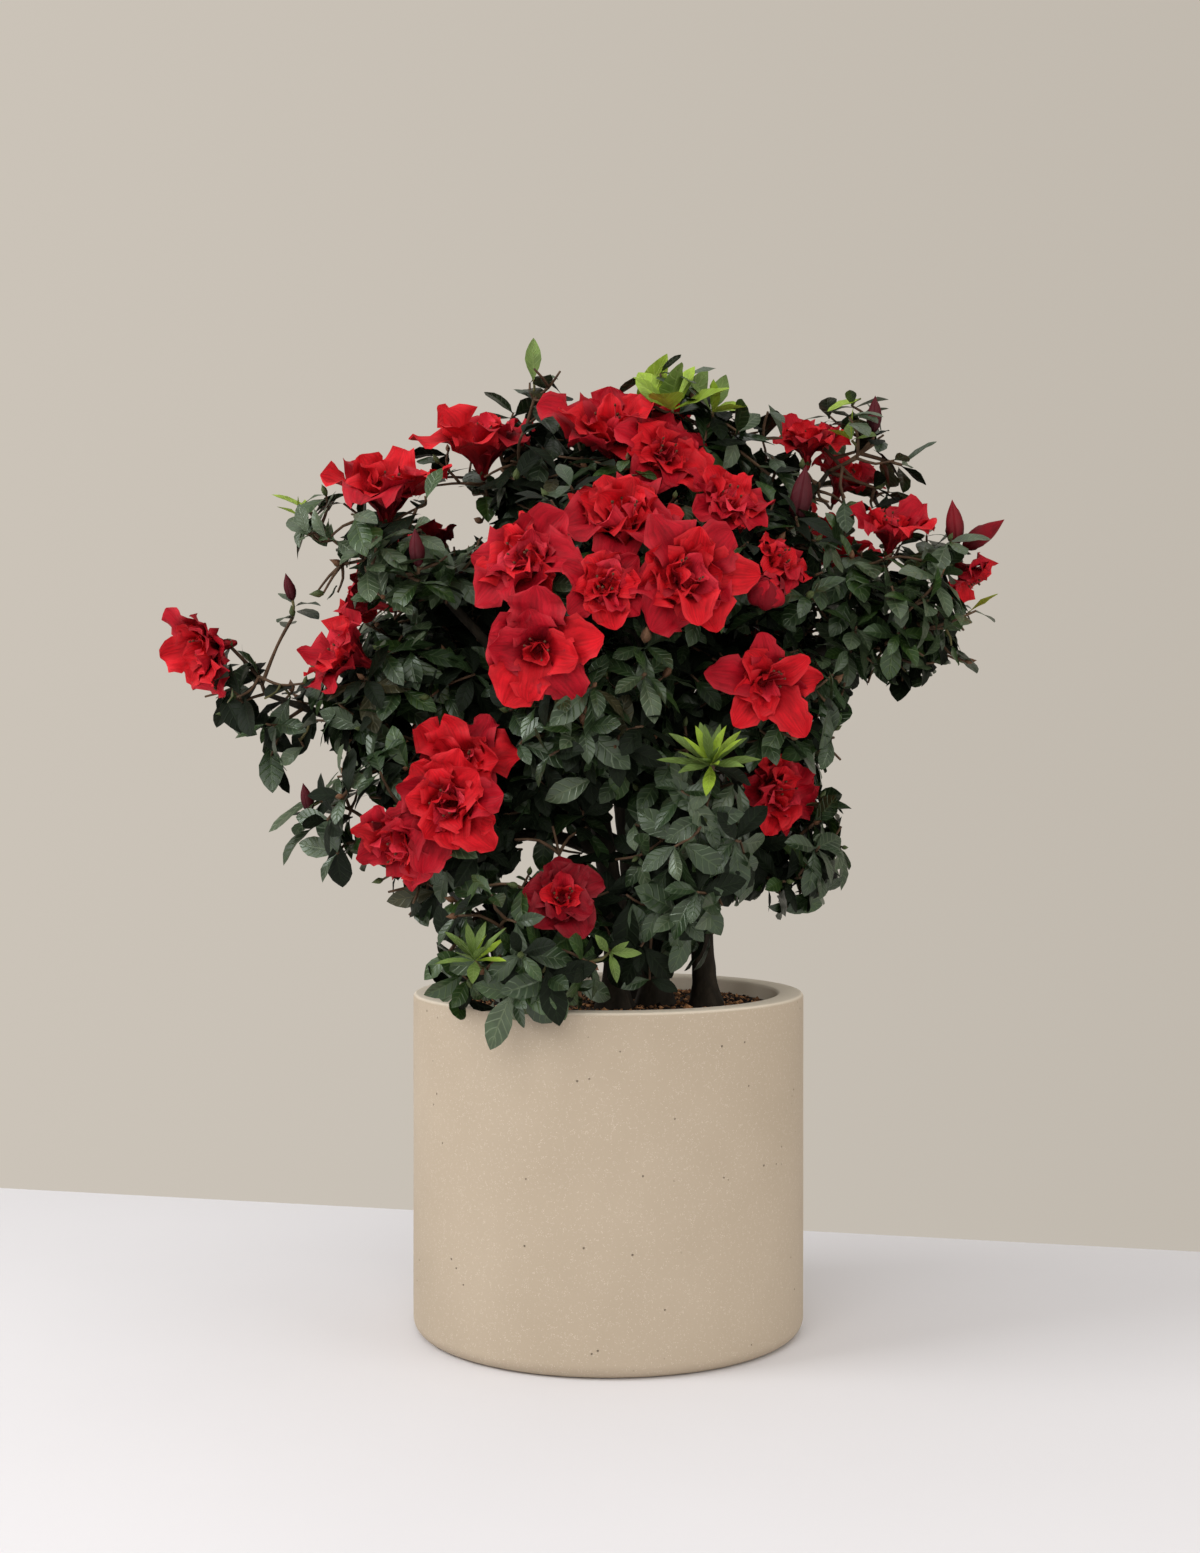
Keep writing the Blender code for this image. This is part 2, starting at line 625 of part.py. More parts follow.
def leaf_shape(root, way, face, length, width, rng):
    """A leaf as a six-faced blade: root, two sides, a drooping tip, and a raised midrib."""
    face = (face - way * face.dot(way)).normalized()
    side = way.cross(face)
    wide = root + way * length * 0.56
    tip = root + way * length - face * length * rng.uniform(0.02, 0.08)
    half = side * width / 2
    vertices = [root, wide - half, tip, wide + half, wide + face * LEAF_THICK]
    faces = [(0, 4, 1), (1, 4, 2), (2, 4, 3), (3, 4, 0), (0, 1, 2), (0, 2, 3)]
    return vertices, faces


def bud_rings(bud):
    """The rings and the pole of a closed flower bud."""
    foot, axis = Vector(bud.foot), Vector(bud.pointing).normalized()
    side, other = square_to(axis)
    rings = []
    for along, size in ((0.30, 0.20), (0.68, 0.15)):
        ring = []
        for k in range(BUD_SIDES):
            turn = 2 * math.pi * k / BUD_SIDES
            out = math.cos(turn) * side + math.sin(turn) * other
            ring.append(foot + bud.length * (along * axis + size * out))
        rings.append(ring)
    return rings, foot + axis * bud.length


def bloom_rings(bloom, planes, rng):
    """The rings and the pole of a bloom: a flaring tube, five pointed petals, a ruffled middle."""
    centre, facing = Vector(bloom.centre), Vector(bloom.facing).normalized()
    side, other = square_to(facing)
    spin = rng.uniform(0, math.pi)

    def ring(radius_tip, radius_notch, lift_tip, lift_notch, waver):
        made = []
        for k in range(2 * PETALS):
            at_tip = k % 2 == 0
            radius = (radius_tip if at_tip else radius_notch) * (1 + rng.uniform(-waver, waver))
            lift = lift_tip if at_tip else lift_notch
            lift += rng.uniform(-waver, waver) * 0.3
            turn = spin + math.pi * k / PETALS
            point = centre + bloom.width * (
                radius * (math.cos(turn) * side + math.sin(turn) * other) + lift * facing)
            made.append(centre + (point - centre) * share_inside(planes, centre, point))
        return made

    rings = [
        ring(0.22, 0.20, -0.12, -0.13, 0.0),
        ring(0.55, 0.42, -0.02, 0.05, 0.08),
        ring(0.28, 0.26, 0.11, 0.01, 0.06),
    ]
    return rings, centre - facing * bloom.width * 0.06


def whorl(axis, edge, count, rng):
    """The ways that each leaf round a bud may take, best first. Each comes out of one face of the
    three-sided bud, between its edges, then spreads and droops."""
    other = axis.cross(edge)
    places = list(range(6))
    if count < 6:
        rng.shuffle(places)
    for k in places[:count]:
        ways = []
        for _ in LEAF_TRIES:
            turn = math.radians(30 + 60 * k + rng.uniform(-9, 9))
            out = math.cos(turn) * edge + math.sin(turn) * other
            rise = math.radians(rng.uniform(0, 42))
            ways.append((out * math.cos(rise) + axis * math.sin(rise) - UP * 0.2).normalized())
        yield ways


# ---------------------------------------------------------------- one mass of foliage
def back_blooms(mass, rng):
    """Blooms for a mass that has none named: on its outer side, spread by the rule."""
    centre = Vector(mass.centre)
    outward = Vector((centre.x, centre.y, 0.05)).normalized()
    chosen = []
    for direction in sphere_directions(14, rng):
        facing = (direction + outward * 0.5).normalized()
        if direction.dot(outward) < 0.35 or direction.z < -0.35:
            continue
        place = centre + direction * reach_towards(mass, direction) * 0.80
        if all((place - Vector(b.centre)).length > 0.052 for b in chosen):
            chosen.append(Bloom(tuple(place), tuple(facing), BACK_BLOOM_WIDTH))
    return chosen[:BACK_BLOOMS]


def all_blooms():
    """Every mass's blooms: the named ones, or those that the rule gives a mass with none."""
    made = {}
    for name, mass in MASSES.items():
        made[name] = BLOOMS.get(name, [])
        if mass.stem == "back":
            made[name] = back_blooms(mass, random.Random(name))
    return made


def leaf_is_free(root, way, face, length, width, mass, limbs, planes):
    """True where a leaf stays in its mass's space and clear of limbs, planter and soil."""
    tip = root + way * length
    side = way.cross(face).normalized() * width / 2
    wide = root + way * length * 0.56
    for point in (tip, wide + side, wide - side):
        if not in_reach(mass, point, 1.2) or not clear_of_planter(point, 0.0015):
            return False
    if min(share_inside(planes, root, wide + side), share_inside(planes, root, wide - side)) < 1:
        return False
    return all(clear_of_limbs(root, point, limbs, LIMB_ROOM)
               for point in (tip, wide + side, wide - side))


def add_leaf(root, way, face, size, mass, limbs, planes, blockers, rng):
    """One leaf where it fits, shortened at the border of its mass's space, or nothing."""
    length = LEAF_LENGTH * size * rng.uniform(0.86, 1.12)
    width = LEAF_WIDTH * size * rng.uniform(0.88, 1.12)
    kept = share_inside(planes, root, root + way * length * 1.12)
    if kept < 0.7:
        return None
    length *= kept
    if not leaf_is_free(root, way, face, length, width, mass, limbs, planes):
        return None
    vertices, faces = leaf_shape(root, way, face, length, width, rng)
    beyond_bud = [root + way * LEAF_SUNK, *vertices[1:]]
    if crosses(beyond_bud, faces, blockers):
        return None
    blockers.append(BVHTree.FromPolygons(beyond_bud, faces))
    return vertices, faces


def mass_pieces(name, root, heading, own_blooms, planes, limbs, rng):
    """All the closed shapes of one mass, its leader first, as (vertices, faces)."""
    mass, centre = MASSES[name], Vector(MASSES[name].centre)
    centre = root + (centre - root) * min(1.0, share_inside(planes, root, centre) * 0.95)
    shoots = shoot_places(mass, root, planes, rng)
    heads = {}
    for bloom in own_blooms:
        facing = Vector(bloom.facing).normalized()
        foot = Vector(bloom.centre) - facing * bloom.width * BLOOM_DEPTH
        heads[foot.freeze()] = (facing, *bloom_rings(bloom, planes, rng), BLOOM_LEAVES)
    for bud in FLOWER_BUDS.get(name, []):
        foot = Vector(bud.foot)
        heads[foot.freeze()] = (Vector(bud.pointing).normalized(), *bud_rings(bud), 0)
    blockers = [BVHTree.FromPolygons(*rings_solid(foot, rings, pole))
                for foot, (_, rings, pole, _) in heads.items()]
    ends = [(place, None) for place in shoots] + [(foot, head[0]) for foot, head in heads.items()]
    leader, *twigs = grow_twigs(root, heading, centre, ends, limbs, blockers, rng)
    sizes = [BOUGH_TIP * 0.96, BOUGH_TIP * 0.9, TWIG_BASE, TWIG_BASE * 0.8]
    pieces = [tube(leader, sizes, TWIG_SIDES, heading)]
    ends = []
    for points in twigs:
        end, arriving = points[-1], (points[-1] - points[-2]).normalized()
        if end.freeze() in heads:
            axis, rings, pole, count = heads[end]
            pieces.append(stalked_shape(points, axis, rings, pole))
            edge, _ = square_to(axis)
            ends.append((end - arriving * 0.003, axis, edge, count))
        else:
            outward = (end - CROWN_CENTRE).normalized()
            axis = (arriving + outward * 0.7 + UP * 0.45).normalized()
            shape, edge = shoot_shape(points, axis)
            pieces.append(shape)
            ends.append((end + axis * (BUD_LENGTH * 0.35 + 0.0015), axis, edge, WHORL_LEAVES))
    trees = [BVHTree.FromPolygons(*piece) for piece in pieces[1:]]
    leaf_trees = []
    for tip in LEAF_TIPS.get(name, []):
        base, axis, _, _ = min(ends, key=lambda e: (e[0] - Vector(tip)).length)
        way = (Vector(tip) - base) * share_inside(planes, base, Vector(tip))
        face = UP if abs(way.normalized().z) < 0.7 else Vector((way.x, way.y - 0.1, 0))
        pieces.append(leaf_shape(base, way.normalized(), face, way.length, LEAF_WIDTH, rng))
        leaf_trees.append(BVHTree.FromPolygons(*pieces[-1]))
    for number, (base, axis, edge, count) in enumerate(ends):
        others = trees[:number] + trees[number + 1:] + leaf_trees
        for tries in whorl(axis, edge, count, rng):
            for way, size in zip(tries, LEAF_TRIES):
                leaf = add_leaf(base, way, axis, size, mass, limbs, planes, others, rng)
                if leaf:
                    pieces.append(leaf)
                    leaf_trees.append(others[-1])
                    break
    return pieces


def foliage(name, pieces, finish):
    """The pieces of one mass fused into one solid."""
    spare = bpy.data.collections.new(name + "_pieces")
    bpy.context.scene.collection.children.link(spare)
    body = solid(name, *pieces[0], finish)
    for number, piece in enumerate(pieces[1:]):
        solid(f"{name}_{number}", *piece, finish, spare)
    apply_boolean(body, "UNION", spare, "MANIFOLD")
    keep_main_body(body)
    return body


# ---------------------------------------------------------------- the whole plant
def build():
    for old in list(bpy.data.objects):
        bpy.data.objects.remove(old)
    finishes = {
        "stone": material("planter_stone", (0.60, 0.49, 0.35), 0.75),
        "soil": material("potting_soil", (0.030, 0.018, 0.012), 0.95),
        "bark": material("bark", (0.075, 0.050, 0.036), 0.85),
        "foliage": material("foliage", (0.040, 0.072, 0.042), 0.50),
    }
    planter(finishes["stone"])
    soil(finishes["soil"])

    limbs, stems = [], {}
    for name, stem in STEMS.items():
        points = stem_points(stem)
        points, radii = with_flare(points, stem_radii(stem, len(points)))
        stems[name] = (points, radii)
        solid("stem_" + name, *tube(points, radii, STEM_SIDES, UP), finishes["bark"])
        limbs += [(a, b, r) for a, b, r in zip(points, points[1:], radii)]

    entries = {}
    for name, mass in MASSES.items():
        points, radii = stems[mass.stem]
        fork, rising, stem_radius = at_height(points, radii, mass.fork_height)
        way = bough_points(mass, fork, rising)
        count = len(way)
        sizes = [BOUGH_BASE + (BOUGH_TIP - BOUGH_BASE) * i / (count - 1) for i in range(count)]
        sizes = [min(size, stem_radius * 0.92) for size in sizes]
        bough_name = name.replace("mass", "bough")
        bough = solid(bough_name, *tube(way, sizes, BOUGH_SIDES), finishes["bark"])
        wider = [radius + CLEAR for radius in radii]
        cutter = solid("cutter", *tube(points, wider, STEM_SIDES, UP), finishes["bark"])
        apply_boolean(bough, "DIFFERENCE", cutter)
        keep_main_body(bough)
        limbs += [(a, b, r) for a, b, r in zip(way, way[1:], sizes)]
        heading = (way[-1] - way[-2]).normalized()
        entries[name] = (way[-1] + heading * CLEAR, heading)

    blooms = all_blooms()
    for name, (root, heading) in entries.items():
        planes = cell_planes(name, blooms)
        rng = random.Random(f"{name} {SEEDS.get(name, 0)}")
        pieces = mass_pieces(name, root, heading, blooms[name], planes, limbs, rng)
        foliage(name, pieces, finishes["foliage"])


build()
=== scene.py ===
"""The looks of a double red azalea shrub in a round stone-coloured planter.

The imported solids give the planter, the stems, the boughs and the space of each mass of foliage.
Here the shrub grows again by the same rule from the same sizes, and the rule carries on to finer
twigs with real leaves, blooms and buds. The front is -Y.
"""

import math
import random
from collections import namedtuple

import bpy
import numpy as np
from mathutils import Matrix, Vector, noise
from mathutils.bvhtree import BVHTree


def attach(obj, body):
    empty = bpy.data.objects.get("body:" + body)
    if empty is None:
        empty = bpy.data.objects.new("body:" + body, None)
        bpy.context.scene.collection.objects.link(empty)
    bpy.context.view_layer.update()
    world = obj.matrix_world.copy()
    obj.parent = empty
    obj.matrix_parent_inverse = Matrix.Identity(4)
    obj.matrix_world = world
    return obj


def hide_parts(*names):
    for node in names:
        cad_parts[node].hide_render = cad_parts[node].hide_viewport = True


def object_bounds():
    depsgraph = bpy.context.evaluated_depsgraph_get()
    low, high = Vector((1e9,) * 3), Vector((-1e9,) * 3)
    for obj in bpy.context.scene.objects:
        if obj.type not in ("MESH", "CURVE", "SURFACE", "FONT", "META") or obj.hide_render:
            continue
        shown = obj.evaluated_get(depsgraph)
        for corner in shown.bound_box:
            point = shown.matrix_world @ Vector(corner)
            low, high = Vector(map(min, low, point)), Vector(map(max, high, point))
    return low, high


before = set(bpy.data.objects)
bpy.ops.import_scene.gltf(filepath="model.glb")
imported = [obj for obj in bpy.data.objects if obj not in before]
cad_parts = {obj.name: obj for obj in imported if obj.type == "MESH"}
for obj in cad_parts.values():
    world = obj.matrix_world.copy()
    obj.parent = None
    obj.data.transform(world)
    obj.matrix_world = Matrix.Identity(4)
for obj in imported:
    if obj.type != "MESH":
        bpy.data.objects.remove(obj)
cad_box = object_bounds()

# ---------------------------------------------------------------- the sizes that the solids share
CLEAR = 0.0003                 # gap between pieces that touch
UP = Vector((0, 0, 1))
PLANTER_RADIUS = 0.120
PLANTER_HEIGHT = 0.2063
WALL = 0.016
FLOOR = 0.016
FOOT_ROUND = 0.009             # rounding between the wall and the flat underside
SOIL_BELOW_RIM = 0.008
SOIL_TOP = PLANTER_HEIGHT - SOIL_BELOW_RIM
SOIL_RADIUS = PLANTER_RADIUS - WALL - CLEAR
TWIG_SIDES = 3
FLARE = 1.55                   # root flare: how much wider a stem is where it meets the soil
BOUGH_BASE = 0.0042            # bough radius where it leaves its stem
BOUGH_TIP = 0.0026
TWIG_BASE = 0.0019
TWIG_TIP = 0.0012
CROWN_CENTRE = Vector((0, 0, 0.36))
LIMB_ROOM = 0.0012             # leaves and twigs stay this far from any limb
CELL_ROOM = 0.0006             # half of the gap between two masses
PETALS = 5
BUD_SIDES = 4
STRAIGHT_TWIG = 0.036          # a twig shorter than this has no bend
Stem = namedtuple("Stem", "foot tip foot_radius tip_radius bow")
STEMS = {
    "left": Stem((0.004, -0.016), (-0.024, -0.012, 0.420), 0.0080, 0.0044, (0.006, 0.004)),
    "middle": Stem((0.029, 0.003), (0.016, -0.004, 0.455), 0.0088, 0.0046, (-0.004, 0.000)),
    "right": Stem((0.060, -0.004), (0.078, 0.002, 0.440), 0.0072, 0.0044, (-0.009, 0.000)),
    "back": Stem((0.016, 0.040), (0.000, 0.066, 0.420), 0.0078, 0.0044, (0.004, 0.004)),
}
Mass = namedtuple("Mass", "stem fork_height centre reach shoots sprigs")
MASSES = {
    "mass_top": Mass("middle", 0.440, (0.024, -0.012, 0.546), (0.066, 0.056, 0.044), 4,
                     [(0.050, -0.010, 0.570), (0.084, -0.008, 0.548), (0.098, -0.022, 0.522)]),
    "mass_top_left": Mass("left", 0.408, (-0.066, 0.004, 0.535), (0.058, 0.054, 0.050), 4,
                          [(-0.046, 0.000, 0.572)]),
    "mass_upper_left": Mass("left", 0.372, (-0.128, -0.036, 0.474), (0.060, 0.058, 0.056), 5,
                            [(-0.182, -0.020, 0.500), (-0.110, -0.080, 0.452)]),
    "mass_left_arm": Mass("left", 0.318, (-0.212, -0.012, 0.390), (0.060, 0.046, 0.052), 3,
                          [(-0.192, -0.020, 0.436), (-0.198, -0.020, 0.372)]),
    "mass_left": Mass("left", 0.344, (-0.134, -0.030, 0.390), (0.056, 0.058, 0.046), 3,
                      [(-0.158, -0.044, 0.368), (-0.126, -0.066, 0.358),
                       (-0.098, -0.052, 0.392)]),
    "mass_lower_left": Mass("left", 0.292, (-0.114, -0.070, 0.314), (0.066, 0.056, 0.048), 3,
                            [(-0.170, -0.060, 0.324), (-0.150, -0.062, 0.300),
                             (-0.104, -0.080, 0.284)]),
    "mass_bottom_left": Mass("left", 0.262, (-0.050, -0.104, 0.244), (0.056, 0.046, 0.046), 4,
                             [(-0.068, -0.132, 0.232), (-0.034, -0.134, 0.226),
                              (-0.088, -0.100, 0.268), (-0.090, -0.112, 0.240)]),
    "mass_centre": Mass("middle", 0.414, (0.008, -0.088, 0.462), (0.080, 0.064, 0.054), 3, []),
    "mass_mid_front": Mass("middle", 0.350, (-0.016, -0.084, 0.376), (0.062, 0.062, 0.046), 4,
                           [(0.020, -0.128, 0.396), (-0.014, -0.128, 0.366)]),
    "mass_right_front": Mass("middle", 0.305, (0.048, -0.084, 0.306), (0.040, 0.050, 0.072), 5,
                             [(0.058, -0.128, 0.346), (0.030, -0.082, 0.262),
                              (0.044, -0.076, 0.368)]),
    "mass_lower_right": Mass("right", 0.300, (0.110, -0.014, 0.296), (0.038, 0.054, 0.040), 4,
                             [(0.124, -0.030, 0.310), (0.094, -0.024, 0.280)]),
    "mass_right": Mass("right", 0.345, (0.110, -0.050, 0.374), (0.042, 0.056, 0.048), 4,
                       [(0.134, -0.040, 0.376), (0.130, -0.046, 0.352)]),
    "mass_mid_right": Mass("right", 0.425, (0.092, -0.052, 0.466), (0.044, 0.056, 0.050), 3,
                           [(0.122, -0.048, 0.488)]),
    "mass_right_arm": Mass("right", 0.385, (0.178, -0.020, 0.440), (0.060, 0.054, 0.056), 4,
                           [(0.206, -0.020, 0.466), (0.172, -0.030, 0.412),
                            (0.198, -0.028, 0.424), (0.146, -0.032, 0.414)]),
    "mass_upper_right": Mass("right", 0.430, (0.138, 0.010, 0.530), (0.056, 0.052, 0.048), 4,
                             [(0.164, 0.000, 0.544), (0.182, 0.004, 0.532)]),
    "mass_back_top": Mass("back", 0.400, (0.014, 0.082, 0.524), (0.078, 0.062, 0.056), 5, []),
    "mass_back_left": Mass("back", 0.345, (-0.104, 0.082, 0.442), (0.078, 0.066, 0.064), 4, []),
    "mass_back_right": Mass("back", 0.375, (0.112, 0.088, 0.450), (0.076, 0.064, 0.062), 5, []),
    "mass_back_low_left": Mass("back", 0.292, (-0.078, 0.092, 0.338), (0.070, 0.060, 0.050), 5, []),
    "mass_back_low_right": Mass("back", 0.318, (0.082, 0.090, 0.342), (0.070, 0.060, 0.050), 5, []),
    "mass_back_middle": Mass("back", 0.385, (0.004, 0.128, 0.424), (0.068, 0.050, 0.060), 4, []),
}
Bloom = namedtuple("Bloom", "centre facing width")
BLOOMS = {
    "mass_left_arm": [Bloom((-0.256, -0.030, 0.416), (-0.80, -0.58, -0.10), 0.060)],
    "mass_left": [Bloom((-0.157, -0.060, 0.414), (-0.75, -0.45, 0.45), 0.062)],
    "mass_upper_left": [Bloom((-0.134, -0.030, 0.518), (0.05, -0.42, 0.90), 0.072)],
    "mass_top_left": [Bloom((-0.079, -0.004, 0.549), (-0.05, -0.45, 0.90), 0.068)],
    "mass_top": [
        Bloom((0.000, -0.030, 0.557), (-0.10, -0.65, 0.75), 0.064),
        Bloom((0.038, -0.058, 0.536), (0.30, -0.85, 0.40), 0.050),
    ],
    "mass_centre": [
        Bloom((-0.051, -0.130, 0.464), (-0.45, -0.85, 0.25), 0.062),
        Bloom((0.009, -0.108, 0.491), (0.00, -0.75, 0.65), 0.072),
        Bloom((-0.002, -0.148, 0.446), (0.05, -0.95, 0.30), 0.048),
        Bloom((0.046, -0.143, 0.453), (0.20, -0.93, 0.25), 0.070),
    ],
    "mass_mid_front": [Bloom((-0.040, -0.150, 0.408), (-0.05, -0.98, -0.10), 0.066)],
    "mass_mid_right": [
        Bloom((0.070, -0.078, 0.500), (0.30, -0.70, 0.60), 0.054),
        Bloom((0.100, -0.082, 0.464), (0.60, -0.60, 0.50), 0.042),
    ],
    "mass_right": [Bloom((0.092, -0.108, 0.392), (0.25, -0.95, -0.05), 0.064)],
    "mass_lower_right": [Bloom((0.103, -0.042, 0.330), (0.65, -0.70, 0.10), 0.058)],
    "mass_lower_left": [
        Bloom((-0.086, -0.098, 0.352), (-0.10, -0.80, 0.55), 0.062),
        Bloom((-0.093, -0.126, 0.324), (-0.20, -0.95, 0.05), 0.066),
        Bloom((-0.124, -0.106, 0.298), (-0.55, -0.65, -0.50), 0.056),
    ],
    "mass_bottom_left": [Bloom((-0.023, -0.122, 0.270), (0.00, -1.00, 0.05), 0.056)],
    "mass_upper_right": [
        Bloom((0.124, 0.008, 0.549), (0.00, -0.40, 0.90), 0.048),
        Bloom((0.150, 0.030, 0.530), (0.30, -0.50, 0.80), 0.050),
    ],
    "mass_right_arm": [
        Bloom((0.173, -0.022, 0.492), (0.10, -0.45, 0.88), 0.056),
        Bloom((0.222, -0.012, 0.460), (0.60, -0.30, -0.70), 0.042),
    ],
}
BACK_BLOOMS = 2                # blooms that the rule gives each mass at the back
BACK_BLOOM_WIDTH = 0.064
BLOOM_DEPTH = 0.42             # share of a bloom's width from its face back to the foot of its tube
FlowerBud = namedtuple("FlowerBud", "foot pointing length")
FLOWER_BUDS = {
    "mass_right_arm": [
        FlowerBud((0.212, -0.018, 0.480), (-0.10, -0.05, 1.00), 0.032),
        FlowerBud((0.216, -0.022, 0.478), (0.80, -0.10, 0.55), 0.034),
    ],
    "mass_upper_right": [FlowerBud((0.164, 0.000, 0.552), (0.05, 0.00, 1.00), 0.026)],
    "mass_upper_left": [FlowerBud((-0.110, -0.086, 0.460), (-0.05, -0.35, 0.90), 0.026)],
    "mass_mid_right": [FlowerBud((0.092, -0.092, 0.440), (0.10, -0.70, 0.50), 0.026)],
}


# ---------------------------------------------------------------- finer sizes, for this model only
GOLDEN = math.pi * (3 - math.sqrt(5))
RIM_ROUND = 0.0022             # rounding of the planter's rim
FINE_TRIES = 900               # places that are tried for the fine shoots of a mass
FINE_APART = 0.0185            # least distance between two rosettes
FINE_SHORTEST = 0.005          # a fine twig is at least this long
FINE_BEND = 0.14               # how far it may bend, as a share of its length
ROSETTE_ROOM = 0.0035          # what a rosette keeps clear of a bloom
FINE_TWIG = (0.0011, 0.0009, 0.0007)     # radii of a fine twig, and of the stalks of a single leaf,
LEAF_STALK = (0.0009, 0.0008, 0.0006)    # of a young rosette and of a small bud
YOUNG_STALK = (0.0010, 0.0009, 0.0008)
BUD_STALK = (0.0010, 0.0009, 0.0009)
LEAF = 0.0310                  # length of a full-grown leaf
LEAF_SHAPE = 0.46              # its width as a share of its length
LEAF_TRIES = 3                 # angles that are tried for a leaf of a rosette
LEAF_REACH = 1.24              # how far leaves go, as a share of their mass's reach
LEAF_INSIDE = 0.72             # least share of a leaf that lies inside its mass's borders
LEAF_CHECKS = ((0.3, 0.003), (0.55, 0.004), (0.8, 0.003), (1.0, 0.0))    # share of a leaf, its room
OPENING_SHARE = 0.35           # the most room beside an opening, as a share of its radius
DEEP_PART, MIDDLE_PART = 0.62, 0.80      # shares of a mass's reach inside which its leaves get more painted shade
LEAF_BUDS = 0.35               # share of the leafy shoots that end in a small bud

# The camera's place, and where the crown stays open to the light behind it when it is seen from
# there: (x, z, radius) in the plane y = 0.
VIEW = Vector((-0.0052, -1.2526, 0.3387))
OPENINGS = [
    (-0.096, 0.501, 0.018), (-0.027, 0.300, 0.009), (-0.048, 0.288, 0.006), (-0.050, 0.302, 0.006),
    (0.128, 0.533, 0.008), (-0.155, 0.318, 0.007), (0.179, 0.546, 0.007), (0.174, 0.470, 0.005),
    (-0.158, 0.469, 0.005), (-0.220, 0.387, 0.005), (0.105, 0.544, 0.005), (-0.056, 0.276, 0.005),
    (0.000, 0.282, 0.005), (0.010, 0.282, 0.004), (0.133, 0.514, 0.005), (-0.191, 0.380, 0.004),
    (0.131, 0.440, 0.004), (-0.262, 0.352, 0.032), (-0.240, 0.332, 0.030), (-0.219, 0.432, 0.013),
    (-0.198, 0.413, 0.014), (-0.238, 0.432, 0.010), (-0.180, 0.472, 0.013), (-0.164, 0.461, 0.008),
    (-0.164, 0.272, 0.012), (-0.150, 0.246, 0.014), (0.218, 0.388, 0.020), (0.190, 0.378, 0.014),
    (0.158, 0.376, 0.010), (0.236, 0.412, 0.010), (0.150, 0.358, 0.010), (0.170, 0.300, 0.022),
    (0.086, 0.240, 0.018), (0.122, 0.232, 0.018), (-0.128, 0.234, 0.016), (-0.182, 0.350, 0.008),
    (-0.238, 0.354, 0.013), (-0.262, 0.392, 0.012), (-0.249, 0.364, 0.006), (-0.198, 0.362, 0.006),
    (-0.206, 0.392, 0.006), (-0.196, 0.382, 0.005), (-0.146, 0.302, 0.008), (-0.148, 0.276, 0.008),
    (-0.090, 0.540, 0.008), (-0.070, 0.534, 0.007), (-0.166, 0.500, 0.006),
    (0.231, 0.424, 0.010), (0.227, 0.398, 0.012), (0.168, 0.386, 0.012), (0.150, 0.344, 0.008),
]

# Single leaves that stand out from the crown: tip, length, and True for a young one.
LEAF_TIPS = {
    "mass_top_left": [((-0.047, -0.002, 0.610), 0.026, True)],
    "mass_top": [((0.038, -0.020, 0.594), 0.040, True), ((0.062, -0.014, 0.588), 0.036, True)],
    "mass_upper_left": [((-0.204, -0.022, 0.512), 0.027, True)],
    "mass_left_arm": [((-0.204, -0.024, 0.330), 0.034, False), ((-0.194, -0.028, 0.398), 0.034, False),
                      ((-0.237, -0.026, 0.370), 0.026, False), ((-0.206, -0.030, 0.361), 0.029, False),
                      ((-0.193, -0.024, 0.352), 0.029, False)],
    "mass_lower_left": [((-0.202, -0.062, 0.308), 0.034, False),
                        ((-0.158, -0.068, 0.272), 0.034, False)],
    "mass_bottom_left": [((-0.069, -0.140, 0.190), 0.034, False),
                         ((-0.028, -0.142, 0.202), 0.034, False)],
    "mass_lower_right": [((0.146, -0.034, 0.322), 0.030, False)],
    "mass_right_arm": [((0.222, -0.030, 0.404), 0.030, False), ((0.172, -0.040, 0.386), 0.030, False),
                       ((0.238, -0.012, 0.452), 0.020, True)],
    "mass_upper_right": [((0.202, 0.000, 0.548), 0.026, False), ((0.134, -0.004, 0.566), 0.028, True)],
}

# Young rosettes: where, the way each points, how many leaves, their length, their width as a share
# of it, and the slots that they are dealt.
Young = namedtuple("Young", "place pointing count length wide tones")
YOUNG = {
    "mass_top": [Young((0.038, -0.040, 0.558), (-0.15, -0.55, 1.00), 6, 0.040, 0.56, (0, 0, 1)),
                 Young((0.062, -0.034, 0.558), (0.40, -0.50, 0.90), 5, 0.030, 0.50, (0, 0, 1))],
    "mass_right_front": [Young((0.056, -0.130, 0.345), (-0.10, -0.65, 0.75), 20, 0.031, 0.24, (1, 1, 0))],
    "mass_bottom_left": [Young((-0.074, -0.136, 0.237), (-0.05, -0.42, 0.92), 13, 0.027, 0.26, (1, 1, 0)),
                         Young((0.000, -0.118, 0.240), (0.35, -0.80, -0.10), 5, 0.019, 0.34, (1, 1))],
    "mass_upper_right": [Young((0.150, -0.004, 0.546), (-0.40, -0.20, 0.90), 4, 0.024, 0.38, (0, 1))],
    "mass_upper_left": [Young((-0.186, -0.022, 0.496), (-0.50, -0.20, 0.80), 4, 0.020, 0.38, (1, 0))],
}

